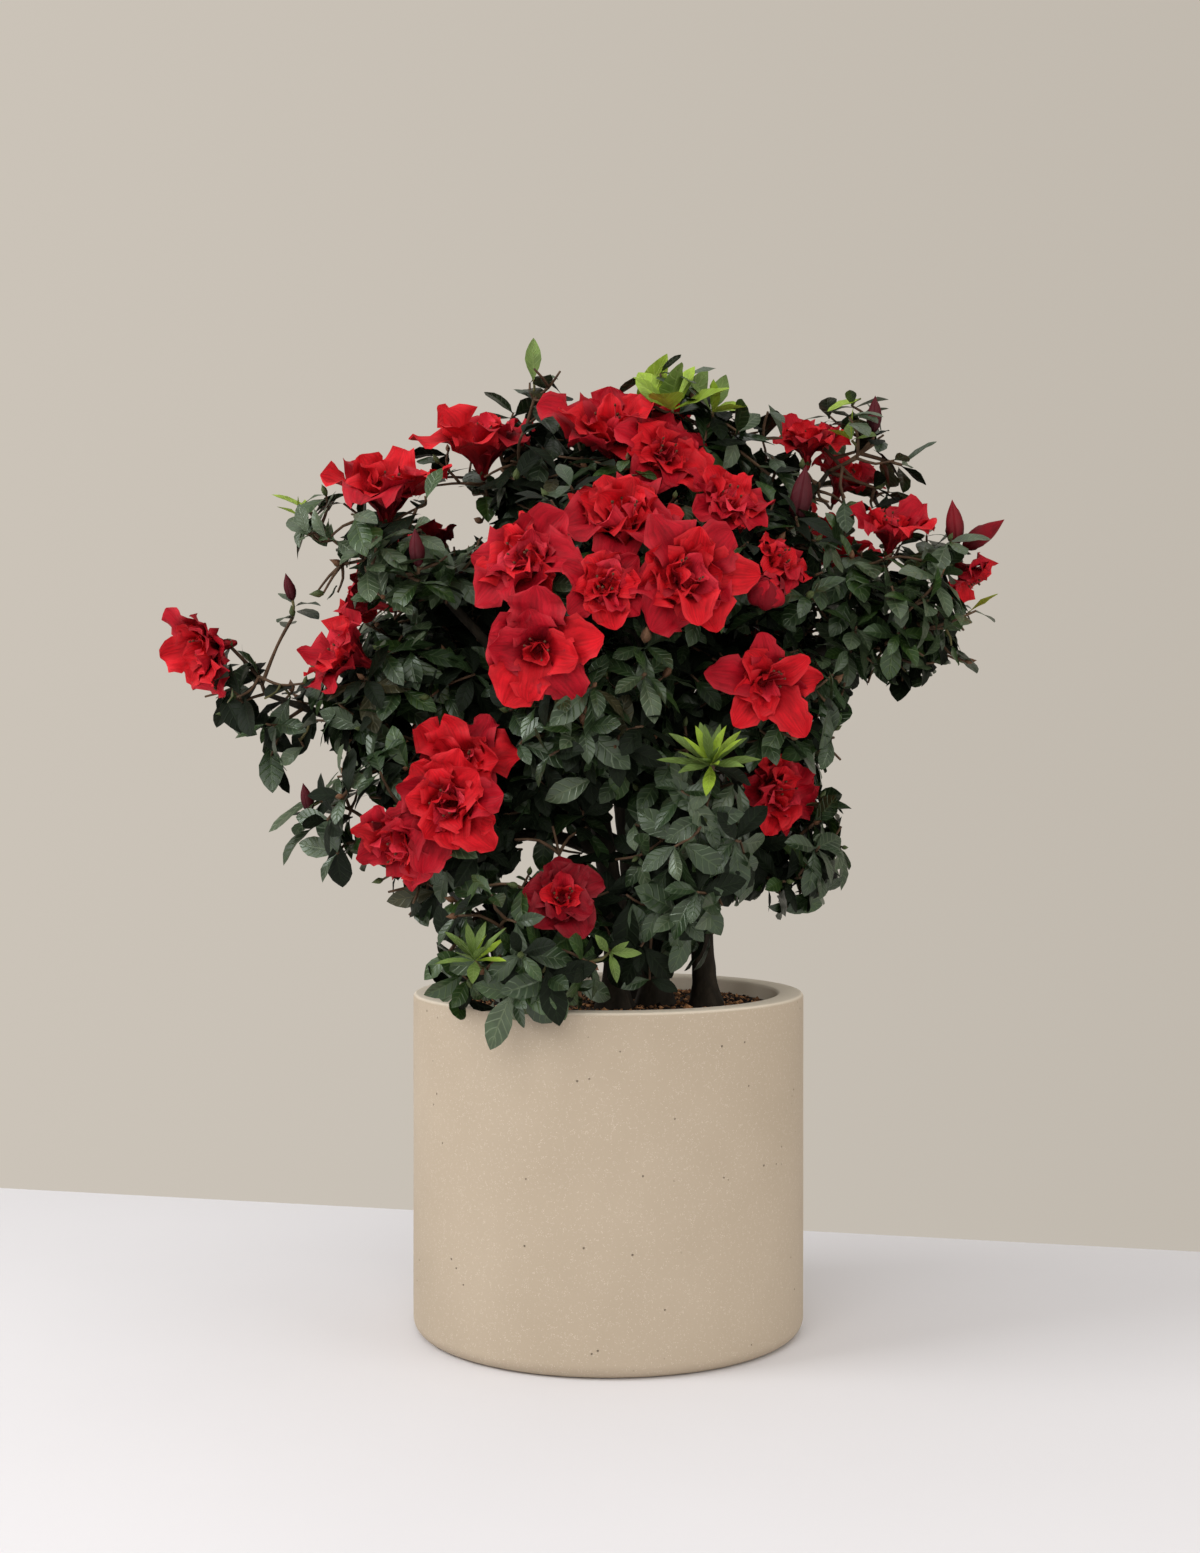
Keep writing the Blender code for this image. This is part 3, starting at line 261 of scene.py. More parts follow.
# Leafy shoots between and under the masses: centre, reach, count, and the way that they turn.
FILLS = {
    "under_left": ((-0.038, -0.058, 0.334), (0.050, 0.042, 0.034), 22, (0.0, -0.8, 0.35)),
    "under_low": ((-0.036, -0.072, 0.296), (0.040, 0.030, 0.022), 9, (0.0, -0.8, 0.20)),
    "under_front": ((0.022, -0.088, 0.262), (0.032, 0.026, 0.044), 16, (0.0, -0.8, 0.35)),
    "under_centre": ((0.020, -0.050, 0.352), (0.040, 0.030, 0.036), 12, (0.0, -0.8, 0.35)),
    "between_right": ((0.058, -0.045, 0.396), (0.026, 0.034, 0.032), 10, (0.0, -0.8, 0.35)),
    "between_left": ((-0.074, -0.050, 0.387), (0.024, 0.032, 0.028), 8, (0.0, -0.8, 0.35)),
    "top_right": ((0.096, -0.014, 0.552), (0.024, 0.022, 0.014), 6, (0.3, -0.5, 0.80)),
    "arm_right": ((0.150, -0.018, 0.497), (0.022, 0.020, 0.016), 6, (0.0, -0.6, 0.70)),
    "top_left": ((-0.040, -0.010, 0.580), (0.022, 0.022, 0.012), 7, (-0.2, -0.4, 0.90)),
    "core_left": ((-0.080, 0.010, 0.426), (0.034, 0.040, 0.044), 20, (0.0, -0.8, 0.35)),
    "core_middle": ((-0.026, 0.014, 0.462), (0.036, 0.040, 0.034), 12, (0.0, -0.8, 0.35)),
    "core_right": ((0.054, 0.010, 0.414), (0.034, 0.040, 0.044), 12, (0.0, -0.8, 0.35)),
    "side_right": ((0.106, 0.036, 0.350), (0.030, 0.034, 0.046), 18, (0.9, 0.0, 0.30)),
    "side_left": ((-0.100, 0.024, 0.352), (0.030, 0.034, 0.046), 14, (-0.9, 0.0, 0.30)),
    "low_left": ((-0.112, -0.080, 0.268), (0.022, 0.026, 0.012), 5, (-0.2, -0.7, 0.10)),
    "gap_left": ((-0.152, -0.040, 0.455), (0.016, 0.022, 0.018), 5, (-0.5, -0.7, 0.30)),
}

# How wide the petals of a mass's blooms spread, as a share of the width of its solids.
SPREAD = {"mass_centre": 1.07, "mass_bottom_left": 0.88, "mass_left": 0.95, "mass_left_arm": 0.96,
          "mass_back_left": 0.85, "mass_lower_left": 1.06, "mass_upper_left": 1.06,
          "mass_top_left": 1.06, "mass_top": 1.22, "mass_back_middle": 0.84}

# Small closed buds on the ends of leafy shoots: foot, the way each points, length, and the slot of
# its petals, or None for a bud of brown scales.
SMALL_BUDS = {
    "mass_mid_right": [((0.111, -0.060, 0.490), (0.15, -0.20, 1.00), 0.032, 4)],
    "mass_left_arm": [((-0.192, -0.022, 0.446), (-0.20, -0.30, 0.90), 0.017, 4)],
    "mass_lower_left": [((-0.176, -0.060, 0.318), (-0.20, -0.30, 1.00), 0.018, 4)],
    "mass_centre": [((0.020, -0.128, 0.414), (0.05, -0.80, 0.60), 0.012, None)],
    "mass_mid_front": [((-0.014, -0.124, 0.368), (0.10, -0.70, 0.70), 0.014, None)],
}


# ---------------------------------------------------------------- the rule that the solids share
def bezier(a, b, c, d, share):
    """The point at this share of the cubic through a to d with handles b and c."""
    rest = 1 - share
    return rest ** 3 * a + 3 * rest ** 2 * share * b + 3 * rest * share ** 2 * c + share ** 3 * d


def unit(way):
    """The unit vector of a way that is given as three numbers."""
    return Vector(way).normalized()


def square_to(axis):
    """Two unit vectors that make a right-handed frame with axis."""
    helper = UP if abs(axis.z) < 0.9 else Vector((1, 0, 0))
    side = helper.cross(axis).normalized()
    return side, axis.cross(side).normalized()


def turned(pair, turn):
    """The unit vector at this angle round an axis, from the pair of vectors square to it."""
    side, other = pair
    return math.cos(turn) * side + math.sin(turn) * other


def tube(points, radii, sides):
    """Vertices and faces of a closed tapering tube through the points, with flat ends."""
    vertices = [point + radius * turned(pair, 2 * math.pi * k / sides)
                for point, radius, (_, *pair) in zip(points, radii, frames_along(points))
                for k in range(sides)]
    return vertices, ring_faces(len(points), sides)


def rings_solid(first, rings, last):
    """A closed skin from one pole through rings of equal count to the other pole."""
    count = len(rings[0])
    vertices = [first] + [point for ring in rings for point in ring] + [last]
    faces = [(0, 1 + (k + 1) % count, 1 + k) for k in range(count)]
    for i in range(len(rings) - 1):
        start = 1 + i * count
        for k in range(count):
            a, b = start + k, start + (k + 1) % count
            faces.append((a, b, b + count))
            faces.append((a, b + count, a + count))
    start, pole = 1 + (len(rings) - 1) * count, len(vertices) - 1
    faces += [(start + k, start + (k + 1) % count, pole) for k in range(count)]
    return vertices, faces


def arc(centre, radius, start, end, steps):
    """Points of an arc in the radius-height plane, angles in degrees."""
    made = []
    for i in range(steps + 1):
        turn = math.radians(start + (end - start) * i / steps)
        made.append((centre[0] + radius * math.cos(turn), centre[1] + radius * math.sin(turn)))
    return made


def stem_points(stem):
    """The stem's centreline: upright at the soil, then bowed towards its tip."""
    foot = Vector((*stem.foot, SOIL_TOP + CLEAR))
    tip = Vector(stem.tip)
    rise = tip.z - foot.z
    bow = Vector((*stem.bow, 0))
    handle_a = foot + UP * rise * 0.35 + bow
    handle_b = tip - UP * rise * 0.3 - (tip - foot) * 0.05 + bow
    steps = 7
    return [bezier(foot, handle_a, handle_b, tip, i / steps) for i in range(steps + 1)]


def flared(stem, points):
    """The stem's points and radii: an even taper, and a root flare that ends in a ring of its own."""
    last = len(points) - 1
    radii = [stem.foot_radius + (stem.tip_radius - stem.foot_radius) * i / last
             for i in range(last + 1)]
    above = points[0].lerp(points[1], 0.35)
    return [points[0], above, *points[1:]], [radii[0] * FLARE, radii[1] * 1.12, *radii[1:]]


def at_height(points, radii, height):
    """The point, the direction and the radius where a rising limb passes this height."""
    for i in range(len(points) - 1):
        low, high = points[i], points[i + 1]
        if low.z <= height <= high.z:
            share = (height - low.z) / (high.z - low.z)
            radius = radii[i] + (radii[i + 1] - radii[i]) * share
            return low.lerp(high, share), (high - low).normalized(), radius
    return points[-1], (points[-1] - points[-2]).normalized(), radii[-1]


def in_reaches(mass, way):
    """The length of a way, with the mass's reach as its unit."""
    return Vector([way[i] / mass.reach[i] for i in range(3)]).length


def reach_towards(mass, direction):
    """How far the mass's space goes from its centre in this direction."""
    return 1 / in_reaches(mass, direction)


def in_reach(mass, point, stretch):
    """True inside the mass's space, made larger or smaller by stretch."""
    return in_reaches(mass, point - Vector(mass.centre)) <= stretch


def bough_points(mass, fork, rising):
    """From the fork on the stem's centreline in a curve to where the bough enters its mass."""
    centre = Vector(mass.centre)
    inward = (fork - centre).normalized()
    entry = centre + inward * min(reach_towards(mass, inward) * 0.62, (fork - centre).length * 0.6)
    length = (entry - fork).length
    flat = Vector((entry.x - fork.x, entry.y - fork.y, 0))
    flat = flat.normalized() if flat.length > 1e-4 else Vector()
    leaving = (rising * 0.5 + flat).normalized()
    handle_a = fork + leaving * length * 0.36
    handle_b = entry - (centre - entry).normalized() * length * 0.3
    steps = max(3, min(5, round(length / 0.028)))
    return [bezier(fork, handle_a, handle_b, entry, i / steps) for i in range(steps + 1)]


def width_along(bloom, axis):
    """How far a bloom reaches from its centre along axis."""
    across = math.sqrt(max(0.0, 1 - unit(bloom.facing).dot(axis) ** 2))
    return bloom.width * (0.12 + 0.42 * across)


def cell_planes(name, blooms):
    """The flat borders of a mass's space, as (point, normal pointing out), one for each neighbour.
    A border lies where the two reaches meet, and gives way to the blooms on both sides."""
    mass, centre, planes = MASSES[name], Vector(MASSES[name].centre), []
    for other_name, other in MASSES.items():
        if other_name == name:
            continue
        apart = Vector(other.centre) - centre
        axis = apart.normalized()
        own, theirs = reach_towards(mass, axis), reach_towards(other, axis)
        border = apart.length * own / (own + theirs)
        low = max([(Vector(b.centre) - centre).dot(axis) + width_along(b, axis)
                   for b in blooms[name]], default=-1)
        high = min([(Vector(b.centre) - centre).dot(axis) - width_along(b, axis)
                    for b in blooms[other_name]], default=2)
        border = (low + high) / 2 if low > high else min(max(border, low), high)
        planes.append((centre + axis * (border - CELL_ROOM), axis))
    return planes


def share_inside(planes, root, tip):
    """How much of the way from root to tip stays inside every border."""
    share = 1.0
    for point, axis in planes:
        over_root, over_tip = (root - point).dot(axis), (tip - point).dot(axis)
        if over_tip > 0:
            share = min(share, max(0.0, -over_root / (over_tip - over_root)))
    return share


def clear_of_planter(point, room):
    """True where a point is clear of the planter's wall and of the soil."""
    out = math.hypot(point.x, point.y)
    if out < PLANTER_RADIUS - WALL:
        return point.z > SOIL_TOP + room
    return point.z > PLANTER_HEIGHT + room or out > PLANTER_RADIUS + room


def clear_of_limbs(start, end, limbs, room):
    """True where the stretch from start to end keeps clear of every limb."""
    samples = [start.lerp(end, i / 6) for i in range(7)]
    for low, high, radius in limbs:
        along = high - low
        if (low - start).length > along.length + (end - start).length + 0.02:
            continue
        for sample in samples:
            share = max(0.0, min(1.0, (sample - low).dot(along) / along.length_squared))
            if (sample - (low + along * share)).length < radius + room:
                return False
    return True


def sphere_directions(count, rng):
    """Directions spread evenly over a sphere, turned by a seeded angle."""
    turned_by = rng.uniform(0, 2 * math.pi)
    made = []
    for i in range(count):
        height = 1 - 2 * (i + 0.5) / count
        ring = math.sqrt(1 - height * height)
        angle = GOLDEN * i + turned_by
        made.append(Vector((ring * math.cos(angle), ring * math.sin(angle), height)))
    return made


def shoot_places(mass, root, planes, rng):
    """Where the leafy shoots of a mass end: spread over its outer side, away from its root."""
    centre = Vector(mass.centre)
    back = (root - centre).normalized()
    places = [Vector(p) for p in mass.sprigs]
    inward = (CROWN_CENTRE - centre).normalized()
    open_side = [d for d in sphere_directions(mass.shoots * 3, rng)
                 if d.dot(back) < 0.35 and d.dot(inward) < 0.5]
    rng.shuffle(open_side)
    for direction in open_side[:mass.shoots]:
        share = rng.uniform(0.56, 0.74)
        place = centre + direction * reach_towards(mass, direction) * share
        place = root + (place - root) * min(1.0, share_inside(planes, root, place) * 0.86)
        if all((place - other).length > 0.018 for other in places):
            places.append(place)
    return places


def twig_cost(end, knot):
    """How long and how sharply turned a twig to this end would be if it left from this knot."""
    way = end - knot[0]
    if way.length < 0.006:
        return 9.0
    return way.length * (1 + 0.45 * (1 - way.normalized().dot(knot[1])))


def grow_twigs(root, heading, centre, ends, limbs, blockers, rng):
    """The centrelines of a mass's twigs: a leader from root into the mass, then one twig to each
    (place, way it arrives or None) in ends. A twig leaves from the knot that costs least among
    those from where it touches no limb and runs through no bloom."""
    near = root + heading * min(0.009, (centre - root).length * 0.4)
    middle = near.lerp(centre, 0.5)
    knots = [(near, heading), (middle, heading), (centre, (centre - root).normalized())]
    twigs = [[root, near, middle, centre]]
    room = LIMB_ROOM + TWIG_BASE
    for end, axis in sorted(ends, key=lambda e: (e[0] - root).length):
        last = [end] if axis is None else [end - axis * 0.004, end]
        choices = []
        for start, _ in sorted(knots, key=lambda k: twig_cost(end, k)):
            way = last[0] - start
            side, other = square_to(way.normalized())
            bend = way.length * 0.10
            knot = start + way * 0.55
            if way.length > STRAIGHT_TWIG:
                knot += side * rng.uniform(-bend, bend) + other * rng.uniform(-bend, bend)
                points = [start, knot, *last]
            else:
                points = [start, *last]
            if all(clear_of_limbs(a, b, limbs, room) for a, b in zip(points, points[1:])):
                thin = tube([start, end - way * 0.1], [TWIG_TIP] * 2, TWIG_SIDES)
                choices.append((crosses(*thin, blockers), len(choices), points, knot))
        if choices:
            _, _, points, knot = min(choices)
            twigs.append(points)
            knots.append((knot, (end - points[0]).normalized()))
    return twigs


def crosses(vertices, faces, blockers):
    """True where this shape cuts through any of the others."""
    shape = BVHTree.FromPolygons(vertices, faces)
    return any(shape.overlap(other) for other in blockers)


def bud_rings(bud):
    """The rings and the pole of a closed flower bud."""
    foot, axis = Vector(bud.foot), unit(bud.pointing)
    pair, turns = square_to(axis), [2 * math.pi * k / BUD_SIDES for k in range(BUD_SIDES)]
    rings = [[foot + bud.length * (along * axis + size * turned(pair, turn)) for turn in turns]
             for along, size in ((0.30, 0.20), (0.68, 0.15))]
    return rings, foot + axis * bud.length


def bloom_rings(bloom, planes, rng):
    """The rings and the pole of a bloom: a flaring tube, five pointed petals, a ruffled middle."""
    centre, facing = Vector(bloom.centre), unit(bloom.facing)
    pair, spin = square_to(facing), rng.uniform(0, math.pi)

    def ring(radius_tip, radius_notch, lift_tip, lift_notch, waver):
        made = []
        for k in range(2 * PETALS):
            at_tip = k % 2 == 0
            radius = (radius_tip if at_tip else radius_notch) * (1 + rng.uniform(-waver, waver))
            lift = lift_tip if at_tip else lift_notch
            lift += rng.uniform(-waver, waver) * 0.3
            turn = spin + math.pi * k / PETALS
            point = centre + bloom.width * (radius * turned(pair, turn) + lift * facing)
            made.append(centre + (point - centre) * share_inside(planes, centre, point))
        return made

    rings = [
        ring(0.22, 0.20, -0.12, -0.13, 0.0),
        ring(0.55, 0.42, -0.02, 0.05, 0.08),
        ring(0.28, 0.26, 0.11, 0.01, 0.06),
    ]
    return rings, centre - facing * bloom.width * 0.06


def back_blooms(mass, rng):
    """Blooms for a mass that has none named: on its outer side, spread by the rule."""
    centre = Vector(mass.centre)
    outward = Vector((centre.x, centre.y, 0.05)).normalized()
    chosen = []
    for direction in sphere_directions(14, rng):
        facing = (direction + outward * 0.5).normalized()
        if direction.dot(outward) < 0.35 or direction.z < -0.35:
            continue
        place = centre + direction * reach_towards(mass, direction) * 0.80
        if all((place - Vector(b.centre)).length > 0.052 for b in chosen):
            chosen.append(Bloom(tuple(place), tuple(facing), BACK_BLOOM_WIDTH))
    return chosen[:BACK_BLOOMS]


def all_blooms():
    """Every mass's blooms: the named ones, or those that the rule gives a mass with none."""
    made = {}
    for name, mass in MASSES.items():
        made[name] = BLOOMS.get(name, [])
        if mass.stem == "back":
            made[name] = back_blooms(mass, random.Random(name))
    return made


# ---------------------------------------------------------------- joined meshes
def linked(name, data):
    """A new object for this data, linked to the scene."""
    made = bpy.data.objects.new(name, data)
    bpy.context.scene.collection.objects.link(made)
    return made


class Piece:
    """One joined mesh, filled bit by bit with points, faces, a slot and a place on the sheet (u, v).
    sharp names the column of its grids that keeps a crease, as (rows, columns, column)."""

    def __init__(self, name, slot, finishes, sharp=None):
        self.name, self.slot, self.finishes, self.sharp = name, slot, finishes, sharp
        self.points, self.faces, self.slots, self.uvs, self.count = [], [], [], [], 0

    def add(self, points, faces, slot=0, uv=None):
        self.points.append(np.asarray(points, float).reshape(-1, 3))
        self.faces += [[i + self.count for i in face] for face in faces]
        self.slots += [slot] * len(faces)
        total = len(self.points[-1])
        self.uvs.append(np.zeros((total, 2)) if uv is None else np.asarray(uv, float))
        self.count += total

    def make(self, *replaced):
        """Makes the piece, which rides on the body and stands for the solids named."""
        mesh = bpy.data.meshes.new(self.name)
        mesh.from_pydata(np.concatenate(self.points).tolist(), [], self.faces)
        for finish in self.finishes:
            mesh.materials.append(finish)
        mesh.polygons.foreach_set("material_index", np.array(self.slots, np.int32))
        corners = np.empty(len(mesh.loops), np.int32)
        mesh.loops.foreach_get("vertex_index", corners)
        layer = mesh.uv_layers.new(name="sheet")
        layer.data.foreach_set("uv", np.concatenate(self.uvs)[corners].astype(np.float32).ravel())
        mesh.shade_smooth()
        if self.sharp:
            rows, columns, column = self.sharp
            ends = np.empty(len(mesh.edges) * 2, np.int32)
            mesh.edges.foreach_get("vertices", ends)
            place = ends.reshape(-1, 2) % (rows * columns) % columns
            crease = mesh.attributes.new("sharp_edge", "BOOLEAN", "EDGE")
            crease.data.foreach_set("value", (place == column).all(axis=1))
        mesh.validate()
        made = linked(self.name, mesh)
        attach(made, "root")
        if replaced:
            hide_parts(*replaced)


def grid_faces(rows, columns):
    """The faces of a grid of points."""
    starts = [i * columns + k for i in range(rows - 1) for k in range(columns - 1)]
    return [(a, a + 1, a + 1 + columns, a + columns) for a in starts]


def ring_faces(rings, sides, ends=True):
    """The faces of a tube of rings, with flat ends or none."""
    faces = []
    for i in range(rings - 1):
        for k in range(sides):
            a, b = i * sides + k, i * sides + (k + 1) % sides
            faces.append((a, b, b + sides, a + sides))
    if ends:
        faces.append(tuple(reversed(range(sides))))
        faces.append(tuple(range((rings - 1) * sides, rings * sides)))
    return faces


def smooth_path(points, radii, step):
    """The limb's line and radii read at even steps from a smooth curve through its points."""
    line, sizes = [], []
    for i in range(len(points) - 1):
        a, b = points[i], points[i + 1]
        before = points[i - 1] if i else a * 2 - b
        after = points[i + 2] if i + 2 < len(points) else b * 2 - a
        count = max(1, round((b - a).length / step))
        for j in range(count):
            t = j / count
            line.append(0.5 * (2 * a + (b - before) * t + (2 * before - 5 * a + 4 * b - after) * t * t
                               + (3 * a - before - 3 * b + after) * t ** 3))
            sizes.append(radii[i] + (radii[i + 1] - radii[i]) * t)
    return line + [points[-1]], sizes + [radii[-1]]


def frames_along(line):
    """The direction and two square vectors at each point of a line, without twist."""
    made, side = [], None
    for i in range(len(line)):
        axis = (line[min(i + 1, len(line) - 1)] - line[max(i - 1, 0)]).normalized()
        if side is None:
            side, _ = square_to(axis)
        side = (side - axis * side.dot(axis)).normalized()
        made.append((axis, side, axis.cross(side)))
    return made


# How a kind of limb is made: the sides of its rings, the step between them, how deep the relief of
# its skin is as a share of its radius, how much it swells here and there, and its material slot.
Skin = namedtuple("Skin", "sides step relief knots slot")
STEM_SKIN = Skin(22, 0.0022, 0.13, 0.10, 0)
BOUGH_SKIN = Skin(12, 0.003, 0.12, 0.18, 0)
LEADER_SKIN = Skin(8, 0.004, 0.10, 0.15, 0)
TWIG_SKIN = Skin(6, 0.005, 0.10, 0.12, 1)
FINE_SKIN = Skin(5, 0.006, 0.10, 0.0, 1)
STALK_SKIN = Skin(5, 0.006, 0.10, 0.0, 2)
TUBE_SKIN = Skin(10, 0.004, 0.0, 0.0, 0)
THREAD_SKIN = Skin(4, 0.004, 0.0, 0.0, 5)
THREAD_TIP_SKIN = Skin(5, 0.002, 0.0, 0.0, 6)


def add_limb(piece, points, radii, skin):
    """A limb whose skin has relief: long plates and cracks that run along it, and small swellings."""
    sides, step, relief, knots, slot = skin
    line, sizes = smooth_path(points, radii, step)
    made, uv, along = [], [], 0.0
    for i, (point, radius, (axis, *pair)) in enumerate(zip(line, sizes, frames_along(line))):
        along += (point - line[i - 1]).length if i else 0.0
        swell = 1 + knots * max(0.0, noise.noise(Vector((along * 38, points[0].x * 90, 4.0))))
        for k in range(sides):
            out = turned(pair, 2 * math.pi * k / sides)
            spot = Vector([c * 2.6 for c in out]) + points[0] * 50
            rough = (noise.noise(spot + axis * along * 45)
                     + 0.6 * noise.noise(spot * 2.3 + axis * along * 160))
            made.append(point + out * radius * (swell + relief * rough))
            uv.append((k / sides, along * 20))
    piece.add(made, ring_faces(len(line), sides), slot, uv)


# ---------------------------------------------------------------- leaves
LEAF_ROWS = np.array([0.0, 0.10, 0.28, 0.48, 0.68, 0.84, 0.94, 1.0])
LEAF_HALF = np.array([0.07, 0.14, 0.60, 0.94, 0.95, 0.64, 0.30, 0.02])
YOUNG_HALF = np.array([0.12, 0.30, 0.72, 1.00, 0.86, 0.52, 0.24, 0.02])
LEAF_ACROSS = np.array([-1.0, -0.55, 0.0, 0.55, 1.0])
LEAF_FACES = grid_faces(len(LEAF_ROWS), len(LEAF_ACROSS))
LEAF_UV = [((c + 1) / 2, t) for t in LEAF_ROWS for c in LEAF_ACROSS]
LEAF_CREASE = (len(LEAF_ROWS), len(LEAF_ACROSS), 2)


def add_leaf(piece, root, way, face, length, width, slot, rng, bend=0.6, fold=0.30, young=False):
    """A blade that is narrow at its stalk and broad past the middle, sunk along its midrib."""
    way = way.normalized()
    face = (face - way * face.dot(way)).normalized()
    side = way.cross(face)
    turn = bend * LEAF_ROWS ** 1.3
    step = np.diff(LEAF_ROWS, prepend=0.0) * length
    forward, drop = np.cumsum(np.cos(turn) * step), np.cumsum(np.sin(turn) * step)
    half = (YOUNG_HALF if young else LEAF_HALF) * width / 2
    across = LEAF_ACROSS[None, :]
    curl = rng.uniform(0.05, 0.30)
    wave = rng.uniform(0, 2 * math.pi)
    lift = half[:, None] * (fold * np.abs(across) - curl * across ** 2)
    ripple = np.sin(LEAF_ROWS * 11 + wave)[:, None] * np.abs(across) * half[:, None] * 0.10
    lift = lift + ripple * np.sign(across + 0.01)
    skew = rng.uniform(-0.10, 0.10) * length * LEAF_ROWS ** 2
    way, face, side, root = (np.array(v) for v in (way, face, side, root))
    points = (root + forward[:, None, None] * way - (drop[:, None, None] - lift[:, :, None]) * face
              + (half[:, None] * across + skew[:, None])[:, :, None] * side)
    piece.add(points, LEAF_FACES, slot, LEAF_UV)


# ---------------------------------------------------------------- blooms
PETAL_ROWS = np.array([0.0, 0.07, 0.14, 0.22, 0.30, 0.38, 0.46, 0.54, 0.62, 0.70, 0.78, 0.85, 0.91,
                       0.96, 1.0])
PETAL_HALF = np.array([0.20, 0.24, 0.32, 0.46, 0.62, 0.78, 0.90, 0.98, 1.00, 0.98, 0.91, 0.77, 0.58,
                       0.35, 0.05])
PETAL_ACROSS = np.linspace(-1, 1, 11)
PETAL_FACES = grid_faces(len(PETAL_ROWS), len(PETAL_ACROSS))
PETAL_UV = [((c + 1) / 2, t) for t in PETAL_ROWS for c in PETAL_ACROSS]

# One ring of petals: how many, length and half width as shares of the bloom's width, the angles
# from the bloom's axis at its foot and tip, how much its edges cup and ruffle, and its twist.
Ring = namedtuple("Ring", "count length half start end cup ruffle twist")
OPEN_RINGS = [
    Ring(5, 0.68, 0.225, 14, 100, 0.00, 0.34, 0.25),
    Ring(5, 0.60, 0.185, 10, 78, 0.10, 0.40, 0.40),
    Ring(4, 0.46, 0.125, 6, 54, 0.30, 0.52, 0.75),
    Ring(3, 0.36, 0.085, 2, 34, 0.40, 0.55, 1.05),
]
FUNNEL_RINGS = [
    Ring(5, 0.69, 0.235, 10, 102, 0.00, 0.40, 0.25),
    Ring(4, 0.58, 0.180, 8, 78, 0.10, 0.46, 0.45),
    Ring(3, 0.36, 0.090, 2, 34, 0.40, 0.55, 0.95),
]
STAR_RINGS = [
    Ring(5, 0.76, 0.160, 10, 100, 0.10, 0.36, 0.45),
    Ring(5, 0.62, 0.140, 6, 74, 0.20, 0.42, 0.60),
    Ring(3, 0.42, 0.090, 2, 40, 0.40, 0.50, 0.95),
]
DOUBLE_RINGS = [
    Ring(6, 0.66, 0.190, 16, 100, 0.05, 0.42, 0.45),
    Ring(6, 0.59, 0.170, 12, 76, 0.15, 0.48, 0.60),
    Ring(5, 0.49, 0.140, 8, 54, 0.25, 0.55, 0.90),
    Ring(4, 0.40, 0.110, 4, 34, 0.35, 0.60, 1.10),
    Ring(3, 0.30, 0.080, 2, 20, 0.40, 0.60, 1.10),
]
TALL_RINGS = [
    Ring(5, 0.74, 0.215, 20, 78, 0.00, 0.34, 0.30),
    Ring(5, 0.67, 0.180, 14, 58, 0.10, 0.40, 0.45),
    Ring(4, 0.53, 0.125, 8, 40, 0.25, 0.50, 0.80),
    Ring(3, 0.40, 0.090, 4, 26, 0.35, 0.55, 1.00),
]
HALF_OPEN_RINGS = [
    Ring(6, 1.02, 0.300, 78, -60, 0.45, 0.16, 0.15),
    Ring(5, 0.92, 0.250, 66, -50, 0.50, 0.20, 0.30),
    Ring(4, 0.80, 0.190, 46, -34, 0.60, 0.30, 0.70),
]
TALL_FROM = 0.62               # a bloom that faces up by this much is seen half open, petals raised
PETAL_FOOT = 0.31              # share of a bloom's width from its centre back to its petals' feet


